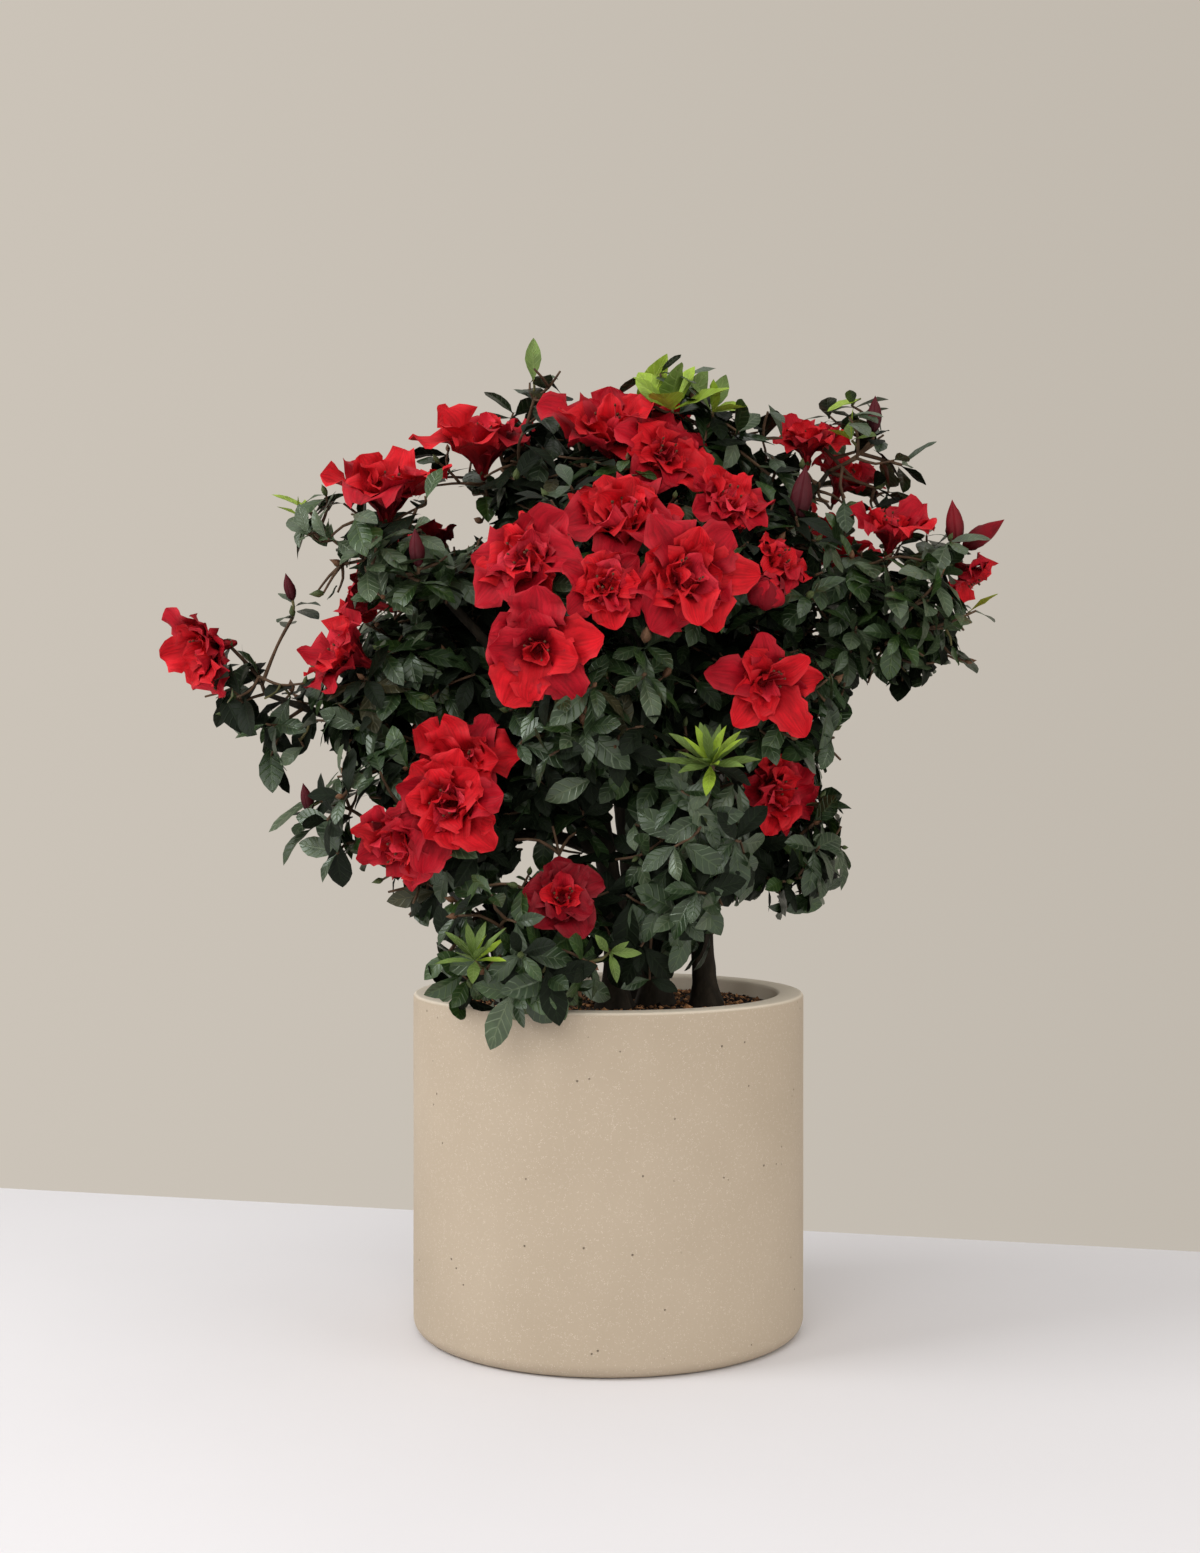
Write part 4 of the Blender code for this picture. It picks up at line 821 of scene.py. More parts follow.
def add_petal(piece, bloom, axes, turn, ring, slot, rng):
    """A petal that turns out from the bloom's axis, with a cupped, ruffled and frilled edge."""
    facing, *pair = axes
    width, radial = bloom.width, turned(pair, turn)
    tangent = facing.cross(radial)
    rows, across = PETAL_ROWS[:, None], PETAL_ACROSS[None, :]
    length = ring.length * width * rng.uniform(0.82, 1.12)
    half = PETAL_HALF * ring.half * width * rng.uniform(0.82, 1.14)
    ease = PETAL_ROWS ** 2 * (3 - 2 * PETAL_ROWS)
    angle = ring.start + (ring.end + rng.uniform(-20, 14) - ring.start) * ease
    angle = np.radians(angle + rng.uniform(-20, 45) * np.clip(PETAL_ROWS - 0.72, 0, 1) / 0.28)
    step = np.diff(PETAL_ROWS, prepend=0.0) * length
    out = 0.02 * width + np.cumsum(np.sin(angle) * step)
    high = -PETAL_FOOT * width + np.cumsum(np.cos(angle) * step)

    edge = np.abs(across) ** 1.7 * np.clip((rows - 0.12) / 0.6, 0, 1)
    sides = (across > 0) * rng.uniform(0.6, 2.6)
    waves, fast = rng.uniform(1.8, 3.0), rng.uniform(5.0, 7.5)
    ruffle = np.sin(waves * 2 * math.pi * rows + rng.uniform(0, 6.3) + sides)
    frill = np.sin(fast * 2 * math.pi * rows + rng.uniform(0, 6.3) + sides * 2)
    crinkle = np.sin(across * rng.uniform(5, 9) + rows * rng.uniform(2, 6) + rng.uniform(0, 6.3))
    bend = half[:, None] * (ring.cup * across ** 2 - 0.20 * (1 - np.abs(across)) ** 2
                            + 1.25 * ring.ruffle * ruffle * edge + 0.18 * frill * edge
                            + 0.07 * crinkle * rows)
    flat = half[:, None] * across * (1 + 0.09 * frill * np.abs(across) ** 3 + 0.05 * ruffle)
    twist = rng.uniform(-ring.twist, ring.twist) * rows
    cos, sin = np.cos(twist), np.sin(twist)
    flat, bend = flat * cos - bend * sin, flat * sin + bend * cos
    radial, tangent, facing, centre = (np.array(v) for v in (radial, tangent, facing, bloom.centre))
    normal = np.sin(angle)[:, None] * facing - np.cos(angle)[:, None] * radial
    line = centre + out[:, None] * radial + high[:, None] * facing
    points = line[:, None, :] + flat[:, :, None] * tangent + bend[:, :, None] * normal[:, None, :]
    points[:, :, 2] -= 0.05 * length * (PETAL_ROWS ** 2)[:, None]
    piece.add(points, PETAL_FACES, slot, PETAL_UV)


def add_bloom(pieces, bloom, tone, rng, stalk, rings=None):
    """A double bloom: a short green cup and tube, rings of ruffled petals, and a few threads.
    Its tube starts at the end of its stalk."""
    facing, width, centre = unit(bloom.facing), bloom.width, Vector(bloom.centre)
    pair, spin = square_to(facing), rng.uniform(0, 2 * math.pi)
    forms = (OPEN_RINGS, DOUBLE_RINGS, FUNNEL_RINGS, STAR_RINGS)
    rings = rings or (TALL_RINGS if facing.z > TALL_FROM else rng.choice(forms))
    for number, ring in enumerate(rings):
        for k in range(ring.count):
            turn = spin + number * 0.55 + 2 * math.pi * (k + rng.uniform(-0.18, 0.18)) / ring.count
            slot = rng.choice(tone[min(number, len(tone) - 1)])
            add_petal(pieces.petals, bloom, (facing, *pair), turn, ring, slot, rng)
    half_open = rings is HALF_OPEN_RINGS
    foot = centre - facing * width * (PETAL_FOOT if half_open else BLOOM_DEPTH)
    belly = foot + facing * width * 0.16
    base = stalk if (belly - stalk).dot(facing) > 0.08 * width else foot
    line = [base, base + facing * width * 0.05, belly, foot + facing * width * 0.24]
    add_limb(pieces.petals, line, [0.0016, 0.0026, width * 0.055, width * 0.085],
             TUBE_SKIN._replace(slot=tone[0][0]))
    for k in range(5):
        out = turned(pair, spin + 2 * math.pi * k / 5)
        add_leaf(pieces.young, base, facing + out * 0.8, facing - out, 0.008, 0.0035, 2, rng,
                 bend=-0.3, young=True)
    if half_open:
        return
    throat = centre - facing * width * 0.26
    for _ in range(5):
        out = turned(pair, rng.uniform(0, 2 * math.pi))
        tip = throat + facing * width * rng.uniform(0.26, 0.40) + out * width * 0.10
        middle = throat.lerp(tip, 0.5) + out * width * 0.02
        add_limb(pieces.petals, [throat, middle, tip], [0.0005, 0.0004, 0.0003], THREAD_SKIN)
        add_limb(pieces.petals, [tip, tip + facing * 0.0014], [0.0007, 0.0007], THREAD_TIP_SKIN)


def add_bud_body(piece, foot, axis, length, grid, size, turn_on, swell, slot):
    """A closed body along an axis, in rows and sides of a grid. size gives its radius at each share
    of its length, turn_on how far each row is turned from the last, and swell shapes each side."""
    (rows, sides), pair, points, uv = grid, square_to(axis), [], []
    for i in range(rows):
        t = i / (rows - 1)
        for k in range(sides):
            turn = 2 * math.pi * k / sides + i * turn_on
            points.append(foot + axis * length * t + turned(pair, turn) * size(t) * swell(k, turn, t))
            uv.append((k / sides, t))
    piece.add(points, ring_faces(rows, sides), slot, uv)


def add_flower_bud(pieces, bud, slot, rng):
    """A closed flower bud: rolled petals about its axis, and green scales at its foot."""
    def size(t):
        round_part = math.sin(math.pi * min(1.0, 0.10 + 0.80 * t ** 0.75)) ** 0.9
        return bud.length * 0.20 * round_part * ((1 - t ** 5) + 0.05)

    def rolled(k, turn, t):
        return 0.86 + 0.20 * ((2.5 * turn / math.pi + t * 1.3) % 1.0)

    foot, axis = Vector(bud.foot), unit(bud.pointing)
    add_bud_body(pieces.petals, foot, axis, bud.length, (13, 20), size, 0.0, rolled, slot)
    pair = square_to(axis)
    for k in range(6):
        out = turned(pair, k * GOLDEN)
        add_leaf(pieces.young, foot + axis * 0.0005 * k, axis + out * 0.35, axis - out * 2,
                 bud.length * rng.uniform(0.28, 0.42), 0.0042, 2 + k % 2, rng, bend=-0.5, young=True)


def add_leaf_bud(piece, foot, axis, length, slot):
    """The small pointed bud at the end of a leafy shoot, in overlapping scales."""
    def size(t):
        return length * 0.26 * math.sin(math.pi * (0.16 + 0.80 * t)) * (1 - 0.75 * t ** 3)

    def scaly(k, turn, t):
        return 1 + 0.10 * (k % 2)

    add_bud_body(piece, foot, axis, length, (7, 8), size, 0.4, scaly, slot)


# ---------------------------------------------------------------- the fine growth
Pieces = namedtuple("Pieces", "twigs young petals leaves")     # the joined pieces that a mass fills
Where = namedtuple("Where", "mass planes limbs blooms")        # what the leaves of a mass keep to


def seen_through(point, room=0.0):
    """True where a point would close one of the crown's openings."""
    share = (point.y - VIEW.y) / -VIEW.y
    for x, z, radius in OPENINGS:
        off_x = point.x - (VIEW.x + (x - VIEW.x) * share)
        off_z = point.z - (VIEW.z + (z - VIEW.z) * share)
        if math.hypot(off_x, off_z) < (radius + min(room, radius * OPENING_SHARE)) * share:
            return True
    return False


def in_bloom(point, blooms, room):
    """True inside the space that a bloom needs, or close in front of it."""
    for centre, facing, width in blooms:
        offset = point - centre
        if offset.length > width * 1.3 + room:
            continue
        along = offset.dot(facing)
        across = (offset - facing * along).length
        limit = 0.50 * width * min(1.0, 1 + along / (0.40 * width)) + room
        if -0.40 * width < along < 0.55 * width and across < limit:
            return True
        if -0.12 < offset.y < 0 and math.hypot(offset.x, offset.z) < 0.36 * width:
            return True
    return False


def near_to(centre, others, reach):
    """Those of the limbs or blooms that start or stand within reach of the centre."""
    return [other for other in others if (other[0] - centre).length < reach]


def fine_places(where, taken, rng):
    """Where the mass's further shoots end: all through its space, kept apart."""
    centre, made = Vector(where.mass.centre), []
    for _ in range(FINE_TRIES):
        height, turn = rng.uniform(-1, 1), rng.uniform(0, 2 * math.pi)
        ring = math.sqrt(1 - height * height)
        direction = Vector((ring * math.cos(turn), ring * math.sin(turn), height))
        share = 0.92 * rng.uniform(0.05, 1.0) ** 0.4
        place = centre + direction * reach_towards(where.mass, direction) * share
        if share_inside(where.planes, centre, place) < 0.97 or not clear_of_planter(place, 0.010):
            continue
        if seen_through(place) or in_bloom(place, where.blooms, ROSETTE_ROOM):
            continue
        if any((place - other).length < FINE_APART for other in taken + made):
            continue
        if clear_of_limbs(place, place, where.limbs, 0.004):
            made.append(place)
    return made


def knots_of(twigs):
    """The places that a fine twig may leave from, as (place, direction)."""
    made = []
    for points in twigs:
        for a, b in zip(points, points[1:]):
            way = (b - a).normalized()
            made += [(a.lerp(b, 0.5), way), (b, way)]
    return made


def grow_fine(root, twigs, places, limbs, rng):
    """A fine twig to each place, from the knot that costs least, by the same rule."""
    knots, made = knots_of(twigs), []
    for end in sorted(places, key=lambda p: (p - root).length):
        for start, _ in sorted(knots, key=lambda k: twig_cost(end, k))[:4]:
            way = end - start
            clear = clear_of_limbs(start.lerp(end, 0.3), end, limbs, 0.001)
            if way.length < FINE_SHORTEST or not clear:
                continue
            side, other = square_to(way.normalized())
            bend = way.length * FINE_BEND
            knot = start + way * 0.5 + side * rng.uniform(-bend, bend) + other * rng.uniform(-bend, bend)
            made.append([start, knot, end])
            knots += [(knot, way.normalized()), (start.lerp(knot, 0.5), way.normalized())]
            break
    return made


def nearest_knot(knots, end):
    """The knot that a short twig to this place leaves from."""
    return min(knots, key=lambda k: (end - k[0]).length + 0.5 * max(0.0, -(end - k[0]).dot(k[1])))


def short_twig(knots, end, rng):
    """A curved fine twig from the nearest knot to a place."""
    start, before = nearest_knot(knots, end)
    span = (end - start).length
    middle = start.lerp(end, 0.5) + before * span * 0.12 + UP * rng.uniform(-0.05, 0.05) * span
    return [start, middle, end]


def add_young(piece, young, rng):
    """A rosette of narrow young leaves, the inner ones nearly upright."""
    axis, base = unit(young.pointing), Vector(young.place)
    pair = square_to(axis)
    for k in range(young.count):
        level = k / max(1, young.count - 1)
        rise = math.radians(8 + 62 * level + rng.uniform(-8, 8))
        way = turned(pair, k * GOLDEN) * math.cos(rise) + axis * math.sin(rise)
        length = young.length * rng.uniform(0.82, 1.08) * (1 - 0.25 * level)
        width = length * young.wide * rng.uniform(0.88, 1.12)
        add_leaf(piece, base + way * 0.001, way, axis, length, width, rng.choice(young.tones), rng,
                 bend=rng.uniform(-0.1, 0.35), fold=0.5, young=True)


def leaf_fits(root, way, length, where):
    """True where a leaf keeps to its mass and clear of the planter, blooms, openings and limbs."""
    for share in (0.5, 1.0):
        point = root + way * length * share
        if not in_reach(where.mass, point, LEAF_REACH) or not clear_of_planter(point, 0.001):
            return False
        if in_bloom(point, where.blooms, 0.0005):
            return False
    if any(seen_through(root + way * length * share, room) for share, room in LEAF_CHECKS):
        return False
    tip = root + way * length
    if not all(low - 0.001 < c < high + 0.001 for c, low, high in zip(tip, *cad_box)):
        return False
    if share_inside(where.planes, root, tip) < LEAF_INSIDE:
        return False
    return clear_of_limbs(root.lerp(tip, 0.3), tip, where.limbs, 0.0008)


def add_rosette(piece, base, axis, count, size, tones, where, rng):
    """Leaves round the end of a shoot, each turned on from the last. The outer ones droop."""
    pair, spin = square_to(axis), rng.uniform(0, 2 * math.pi)
    side, other = pair
    for k in range(count):
        level, out = k / max(1, count - 1), turned(pair, spin + k * GOLDEN)
        start = base - axis * 0.007 * (1 - level)
        for _ in range(LEAF_TRIES):
            rise = math.radians(-6 + 52 * level + rng.uniform(-14, 14))
            way = out * math.cos(rise) + axis * math.sin(rise) - UP * rng.uniform(0.12, 0.42)
            way.normalize()
            length = size * (1 - 0.34 * level ** 2) * rng.uniform(0.84, 1.12)
            if leaf_fits(start, way, length, where):
                face = axis + UP * 0.5 + side * rng.uniform(-0.3, 0.3) + other * rng.uniform(-0.3, 0.3)
                width = length * LEAF_SHAPE * rng.uniform(0.86, 1.1)
                add_leaf(piece, start, way, face, length, width, rng.choice(tones), rng,
                         bend=rng.uniform(0.2, 1.0), fold=rng.uniform(0.15, 0.5))
                break


# ---------------------------------------------------------------- materials
GLOSS = "Specular IOR Level"


def new_material(name):
    """A new material, its node tree and its shader."""
    made = bpy.data.materials.new(name)
    made.use_nodes = True
    tree = made.node_tree
    return made, tree, tree.nodes["Principled BSDF"]


def node(tree, kind, inputs=(), **settings):
    """A shader node, its settings, and its inputs linked to sockets or set to values."""
    made = tree.nodes.new("ShaderNode" + kind)
    for key, value in settings.items():
        setattr(made, key, value)
    for key, value in dict(inputs).items():
        if isinstance(value, bpy.types.NodeSocket):
            tree.links.new(value, made.inputs[key])
        else:
            made.inputs[key].default_value = value
    return made


def maths(tree, operation, *values):
    """A sum of two values, or another operation on them."""
    return node(tree, "Math", enumerate(values), operation=operation).outputs[0]


def remap(tree, value, before=(0.0, 1.0), after=(0.0, 1.0)):
    """A value carried from one range to another and held to it."""
    ends = zip(("From Min", "From Max", "To Min", "To Max"), (*before, *after))
    return node(tree, "MapRange", {"Value": value, **dict(ends)}).outputs["Result"]


def mixed(tree, factor, first, second):
    """The first colour, with the second over it by the factor."""
    inputs = {0: factor, 6: first, 7: (*second, 1)}
    return node(tree, "Mix", inputs, data_type="RGBA").outputs[2]


def ramp(tree, factor, stops):
    """A colour ramp through the stops (place, colour)."""
    made = node(tree, "ValToRGB", {"Fac": factor})
    band = made.color_ramp.elements
    while len(band) < len(stops):
        band.new(0.5)
    for element, (place, colour) in zip(band, stops):
        element.position = place
        element.color = (*colour, 1)
    return made.outputs["Color"]


def in_object(tree):
    """A point's place in the object's own space."""
    return node(tree, "TexCoord").outputs["Object"]


def blotches(tree, scale, detail=4.0, rough=0.55, stretch=None):
    """A noise pattern in the object's own space."""
    place = in_object(tree)
    if stretch:
        place = node(tree, "Mapping", {"Vector": place, "Scale": stretch}).outputs["Vector"]
    return node(tree, "TexNoise", {"Vector": place, "Scale": scale, "Detail": detail,
                                   "Roughness": rough}).outputs["Fac"]


def cells(tree, scale):
    """The distance to the nearest of many scattered points."""
    inputs = {"Vector": in_object(tree), "Scale": scale}
    return node(tree, "TexVoronoi", inputs, feature="F1").outputs["Distance"]


def shade(colour, by):
    """A lighter or darker version of a colour."""
    return tuple(min(1.0, c * by) for c in colour)


def dress(tree, shader, colour, grain, rough, bumps, **values):
    """Gives the shader its colour, a roughness that varies between two values with a noise of scale
    grain, its other values, and bumps from several heights: (socket, strength, distance)."""
    tree.links.new(colour, shader.inputs["Base Color"])
    tree.links.new(remap(tree, blotches(tree, grain), after=rough), shader.inputs["Roughness"])
    normal = {}
    for height, strength, distance in bumps:
        inputs = {"Height": height, "Strength": strength, "Distance": distance, **normal}
        normal = {"Normal": node(tree, "Bump", inputs).outputs["Normal"]}
    for socket in normal.values():
        tree.links.new(socket, shader.inputs["Normal"])
    for key, value in values.items():
        shader.inputs[key].default_value = value


def on_sheet(tree):
    """A point's place on the sheet of its leaf or petal."""
    return node(tree, "UVMap", uv_map="sheet").outputs["UV"]


def sheet_place(tree):
    """How far from the middle (0 to 1) and how far along (0 to 1) a point lies on its leaf or petal."""
    parts = node(tree, "SeparateXYZ", {"Vector": on_sheet(tree)}).outputs
    off = maths(tree, "ABSOLUTE", maths(tree, "SUBTRACT", parts["X"], 0.5))
    return maths(tree, "MULTIPLY", off, 2.0), parts["Y"]


def vein_height(tree, off, along, count, slant):
    """Side veins that leave the midrib at a slant, and the midrib itself."""
    shift = maths(tree, "MULTIPLY", off, slant)
    phase = maths(tree, "SUBTRACT", maths(tree, "MULTIPLY", along, count), shift)
    side = remap(tree, maths(tree, "PINGPONG", phase, 0.5), (0.0, 0.14), (1.0, 0.0))
    return maths(tree, "MAXIMUM", side, remap(tree, off, (0.0, 0.10), (1.0, 0.0)))


def leaf_material(name, colour, rib, roughness, gloss=0.35):
    """A leaf: blotched green, paler along its veins."""
    made, tree, shader = new_material(name)
    veins = vein_height(tree, *sheet_place(tree), 6.5, 1.3)
    base = ramp(tree, blotches(tree, 90), [(0.30, shade(colour, 0.62)), (0.52, colour),
                                            (0.74, shade(colour, 1.45))])
    dress(tree, shader, mixed(tree, remap(tree, veins, after=(0.0, 0.55)), base, rib),
          260, (roughness - 0.08, roughness + 0.12),
          [(veins, 0.55, 0.0004), (blotches(tree, 700), 0.18, 0.0002)],
          **{GLOSS: gloss, "Specular Tint": (0.90, 1.0, 0.87, 1)})
    return made


def petal_material(name, colour, deep, sheen=0.01, roughness=0.60):
    """A petal: streaked along its length, with painted shade that deepens its foot and a painted highlight
    along its edge.
    """
    made, tree, shader = new_material(name)
    off, along = sheet_place(tree)
    veins = vein_height(tree, off, along, 5.0, 3.2)
    place = node(tree, "Mapping", {"Vector": on_sheet(tree), "Scale": (9.0, 1.6, 1.0)}).outputs["Vector"]
    streaks = node(tree, "TexNoise", {"Vector": place, "Scale": 2.2, "Detail": 4.0}).outputs["Fac"]
    cloud = maths(tree, "MULTIPLY", maths(tree, "ADD", streaks, blotches(tree, 75)), 0.5)
    tone = ramp(tree, cloud, [(0.34, shade(colour, 0.62)), (0.50, colour), (0.66, shade(colour, 1.30))])
    # painted shade: the petal darkens towards its foot
    fade = remap(tree, along, (0.18, 0.70), (0.92, 0.0))
    lines = remap(tree, veins, after=(0.0, 0.08))
    tone = mixed(tree, maths(tree, "MAXIMUM", fade, lines), tone, deep)
    # painted highlight: a lighter tone along the petal's edge
    light = [min(1.0, c * 1.30 + 0.040) for c in colour]
    dress(tree, shader, mixed(tree, remap(tree, off, (0.62, 1.0), (0.0, 0.30)), tone, light),
          300, (roughness - 0.08, roughness + 0.10),
          [(veins, 0.18, 0.0004), (streaks, 0.28, 0.0008), (blotches(tree, 900), 0.22, 0.0002)],
          **{"Sheen Weight": sheen, "Sheen Roughness": 0.4, "Sheen Tint": (1.0, 0.55, 0.55, 1),
             GLOSS: 0.14})
    return made


def rough_material(name, dark, light, low, scale, roughness, bumps, stretch=None, between=()):
    """A matt natural surface: a colour ramp over noise, and bump at several scales."""
    made, tree, shader = new_material(name)
    stops = [(low, dark), *between, (1 - low, light)]
    dress(tree, shader, ramp(tree, blotches(tree, scale, 6.0, 0.62, stretch), stops),
          scale * 3, (roughness - 0.1, min(1.0, roughness + 0.1)),
          [(blotches(tree, size, 5.0, 0.6, stretch), *amount) for size, *amount in bumps],
          **{GLOSS: 0.25})
    return made


STONE_TONES = [(0.30, (0.462, 0.380, 0.284)), (0.70, (0.515, 0.428, 0.326))]
STONE_GRAINS = (0.86, 0.80, 0.68)
# The pits get painted shade, and the rim's top and the inner wall get painted light.
STONE_PIT_SHADE = (0.10, 0.075, 0.05)
STONE_PAINTED_LIGHT = (0.88, 0.79, 0.65)


def stone_material():
    """Sand-coloured cast stone: fine pale grains, a soft cloud of tone, a few small pits with painted
    shade in them, and painted light that makes the rim's top and the inner wall paler."""
    made, tree, shader = new_material("planter_stone_cast")
    cloud = ramp(tree, blotches(tree, 9, 3.0), STONE_TONES)
    grain = remap(tree, cells(tree, 1250.0), (0.12, 0.42), (0.50, 0.0))
    few = remap(tree, blotches(tree, 420, 2.0), (0.50, 0.60))
    tone = mixed(tree, maths(tree, "MULTIPLY", grain, few), cloud, STONE_GRAINS)
    # painted shade in the small pits
    pit = remap(tree, cells(tree, 120.0), (0.048, 0.094), (1.0, 0.0))
    rare = remap(tree, blotches(tree, 26, 1.0), (0.51, 0.54))
    pit = maths(tree, "MULTIPLY", pit, rare)
    tone = mixed(tree, maths(tree, "MULTIPLY", pit, 0.78), tone, STONE_PIT_SHADE)
    # painted light: the rim's top and the inner wall are painted paler
    spot = node(tree, "SeparateXYZ", {"Vector": in_object(tree)}).outputs
    top = remap(tree, spot["Z"], (PLANTER_HEIGHT - 0.0016, PLANTER_HEIGHT - 0.0004), (0.0, 0.85))
    level = node(tree, "CombineXYZ", {"X": spot["X"], "Y": spot["Y"]}).outputs[0]
    radius = node(tree, "VectorMath", {0: level}, operation="LENGTH").outputs["Value"]
    inner = PLANTER_RADIUS - WALL
    inside = remap(tree, radius, (inner + 0.002, inner + 0.0005), (0.0, 0.80))
    tone = mixed(tree, maths(tree, "MAXIMUM", top, inside), tone, STONE_PAINTED_LIGHT)
    dress(tree, shader, tone, 500, (0.66, 0.92),
          [(blotches(tree, 30, 3.0), 0.10, 0.002), (blotches(tree, 900, 3.0), 0.25, 0.0003),
           (maths(tree, "SUBTRACT", 1.0, pit), 0.8, 0.0008)], **{GLOSS: 0.3})
    return made


# ---------------------------------------------------------------- planter and soil
# Each matt material: name, dark and light tone, where the ramp starts, scale, roughness and bumps.
CRUMBLY = [(500, 0.8, 0.001)]
SOILS = [
    ("soil_dark", (0.010, 0.007, 0.005), (0.040, 0.026, 0.018), 0.3, 300, 0.95, CRUMBLY),
    ("soil_brown", (0.130, 0.060, 0.026), (0.300, 0.150, 0.070), 0.3, 300, 0.95, CRUMBLY),
    ("soil_bark", (0.420, 0.170, 0.060), (0.760, 0.400, 0.190), 0.3, 300, 0.9, CRUMBLY),
    ("soil_black", (0.006, 0.005, 0.004), (0.020, 0.014, 0.011), 0.3, 300, 0.95, CRUMBLY),
]
BARKS = [
    ("bark_old", (0.007, 0.006, 0.004), (0.052, 0.041, 0.027), 0.25, 130, 0.85,
     [(90, 0.7, 0.002), (420, 0.5, 0.0006)], (1.0, 1.0, 0.35), [(0.5, (0.022, 0.017, 0.011))]),
    ("bark_twig", (0.050, 0.028, 0.016), (0.120, 0.070, 0.038), 0.3, 200, 0.75,
     [(400, 0.5, 0.0004), (1400, 0.3, 0.0002)]),
    ("bark_young", (0.070, 0.080, 0.025), (0.150, 0.120, 0.050), 0.3, 200, 0.65,
     [(600, 0.4, 0.0003)]),
]
PLANTER_SEGMENTS, PLANTER_STEP = 160, 0.009
UNEVEN = 0.00022               # how far the planter's wall swells and sinks
SOIL_RINGS, SOIL_SEGMENTS = 46, 150
SOIL_LUMPS = 0.0014            # height of the lumps in the soil's surface
SOIL_SUNK = 0.0012             # how far that surface lies below the soil's top
CRUMBS, LARGE_EVERY = 2600, 9            # how many crumbs, and which of them are large
CRUMB_SIZES, LARGE_SIZES = (0.0007, 0.0021), (0.002, 0.0036)
CRUMB_TONES = (0, 1, 1, 2, 2, 3)         # slots that the crumbs are dealt
CHUNK = [unit(v) for v in ((1, 0, 0.2), (0.4, 0.9, -0.1), (-0.7, 0.7, 0.2), (-0.9, -0.4, 0),
                           (0.1, -1, 0.1), (0.8, -0.6, -0.2), (0.1, 0.1, 1), (-0.1, 0, -1))]
CHUNK_FACES = [(i, (i + 1) % 6, 6) for i in range(6)] + [((i + 1) % 6, i, 7) for i in range(6)]


def turned_grid(profile):
    """The points of a profile that is turned round the planter's axis, a little uneven."""
    points = []
    for radius, height in profile:
        for k in range(PLANTER_SEGMENTS):
            turn = 2 * math.pi * k / PLANTER_SEGMENTS
            spot = Vector((math.cos(turn) * 1.5, math.sin(turn) * 1.5, height * 14))
            grown = radius + UNEVEN * noise.noise(spot) if radius > 0.02 else radius
            points.append((grown * math.cos(turn), grown * math.sin(turn), height))
    return points


def evenly(points, step):
    """Points of a profile with no stretch longer than step."""
    made = [points[0]]
    for a, b in zip(points, points[1:]):
        count = max(1, math.ceil(math.dist(a, b) / step))
        made += [(a[0] + (b[0] - a[0]) * i / count, a[1] + (b[1] - a[1]) * i / count)
                 for i in range(1, count + 1)]
    return made


def make_planter():
    """The turned shell, with a rounded foot and rim."""
    inner, high = PLANTER_RADIUS - WALL, PLANTER_HEIGHT - RIM_ROUND
    foot = arc((PLANTER_RADIUS - FOOT_ROUND, FOOT_ROUND), FOOT_ROUND, -90, 0, 10)
    rim = (arc((PLANTER_RADIUS - RIM_ROUND, high), RIM_ROUND, 0, 90, 6)
           + arc((inner + RIM_ROUND, high), RIM_ROUND, 90, 180, 6))
    profile = evenly([(0.0005, 0.0), (0.06, 0.0), *foot, *rim, (inner, FLOOR), (0.05, FLOOR),
                      (0.0005, FLOOR)], PLANTER_STEP)
    piece = Piece("planter_shell", "planter", [stone_material()])
    piece.add(turned_grid(profile), ring_faces(len(profile), PLANTER_SEGMENTS))
    piece.make("planter")


def make_soil():
    """A bed of crumbs on a body of soil: fine crumbs everywhere, and larger bark pieces on top."""
    rng = random.Random("soil")
    piece = Piece("soil_bed", "soil", [rough_material(*row) for row in SOILS])
    around = [2 * math.pi * k / SOIL_SEGMENTS for k in range(SOIL_SEGMENTS)]
    points = [(0.0, 0.0, FLOOR + CLEAR)] * SOIL_SEGMENTS
    points += [(SOIL_RADIUS * math.cos(turn), SOIL_RADIUS * math.sin(turn), FLOOR + CLEAR)
               for turn in around]
    for i in range(SOIL_RINGS + 1):
        radius, height = SOIL_RADIUS * (1 - i / SOIL_RINGS), SOIL_LUMPS if i else 0.0
        for turn in around:
            x, y = radius * math.cos(turn), radius * math.sin(turn)
            lump = (noise.noise(Vector((x * 60, y * 60, 0)))
                    + 0.6 * noise.noise(Vector((x * 240, y * 240, 3))))
            points.append((x, y, SOIL_TOP - SOIL_SUNK + height * lump))
    piece.add(points, ring_faces(SOIL_RINGS + 3, SOIL_SEGMENTS, ends=False))
    for number in range(CRUMBS):
        radius, turn = (SOIL_RADIUS - 0.0025) * math.sqrt(rng.random()), rng.uniform(0, 2 * math.pi)
        size = rng.uniform(*(CRUMB_SIZES if number % LARGE_EVERY else LARGE_SIZES))
        squash = Vector((rng.uniform(0.6, 1.3), rng.uniform(0.5, 1.0), rng.uniform(0.35, 0.8)))
        spin = rng.uniform(0, 2 * math.pi)
        cos, sin = math.cos(spin), math.sin(spin)
        middle = Vector((radius * math.cos(turn), radius * math.sin(turn), SOIL_TOP - 0.0004))
        made = []
        for corner in CHUNK:
            c = Vector([a * b for a, b in zip(corner, squash)]) * rng.uniform(0.75, 1.1)
            made.append(middle + Vector((c.x * cos - c.y * sin, c.x * sin + c.y * cos, c.z)) * size)
        piece.add(made, CHUNK_FACES, rng.choice(CRUMB_TONES))
    piece.make("soil")
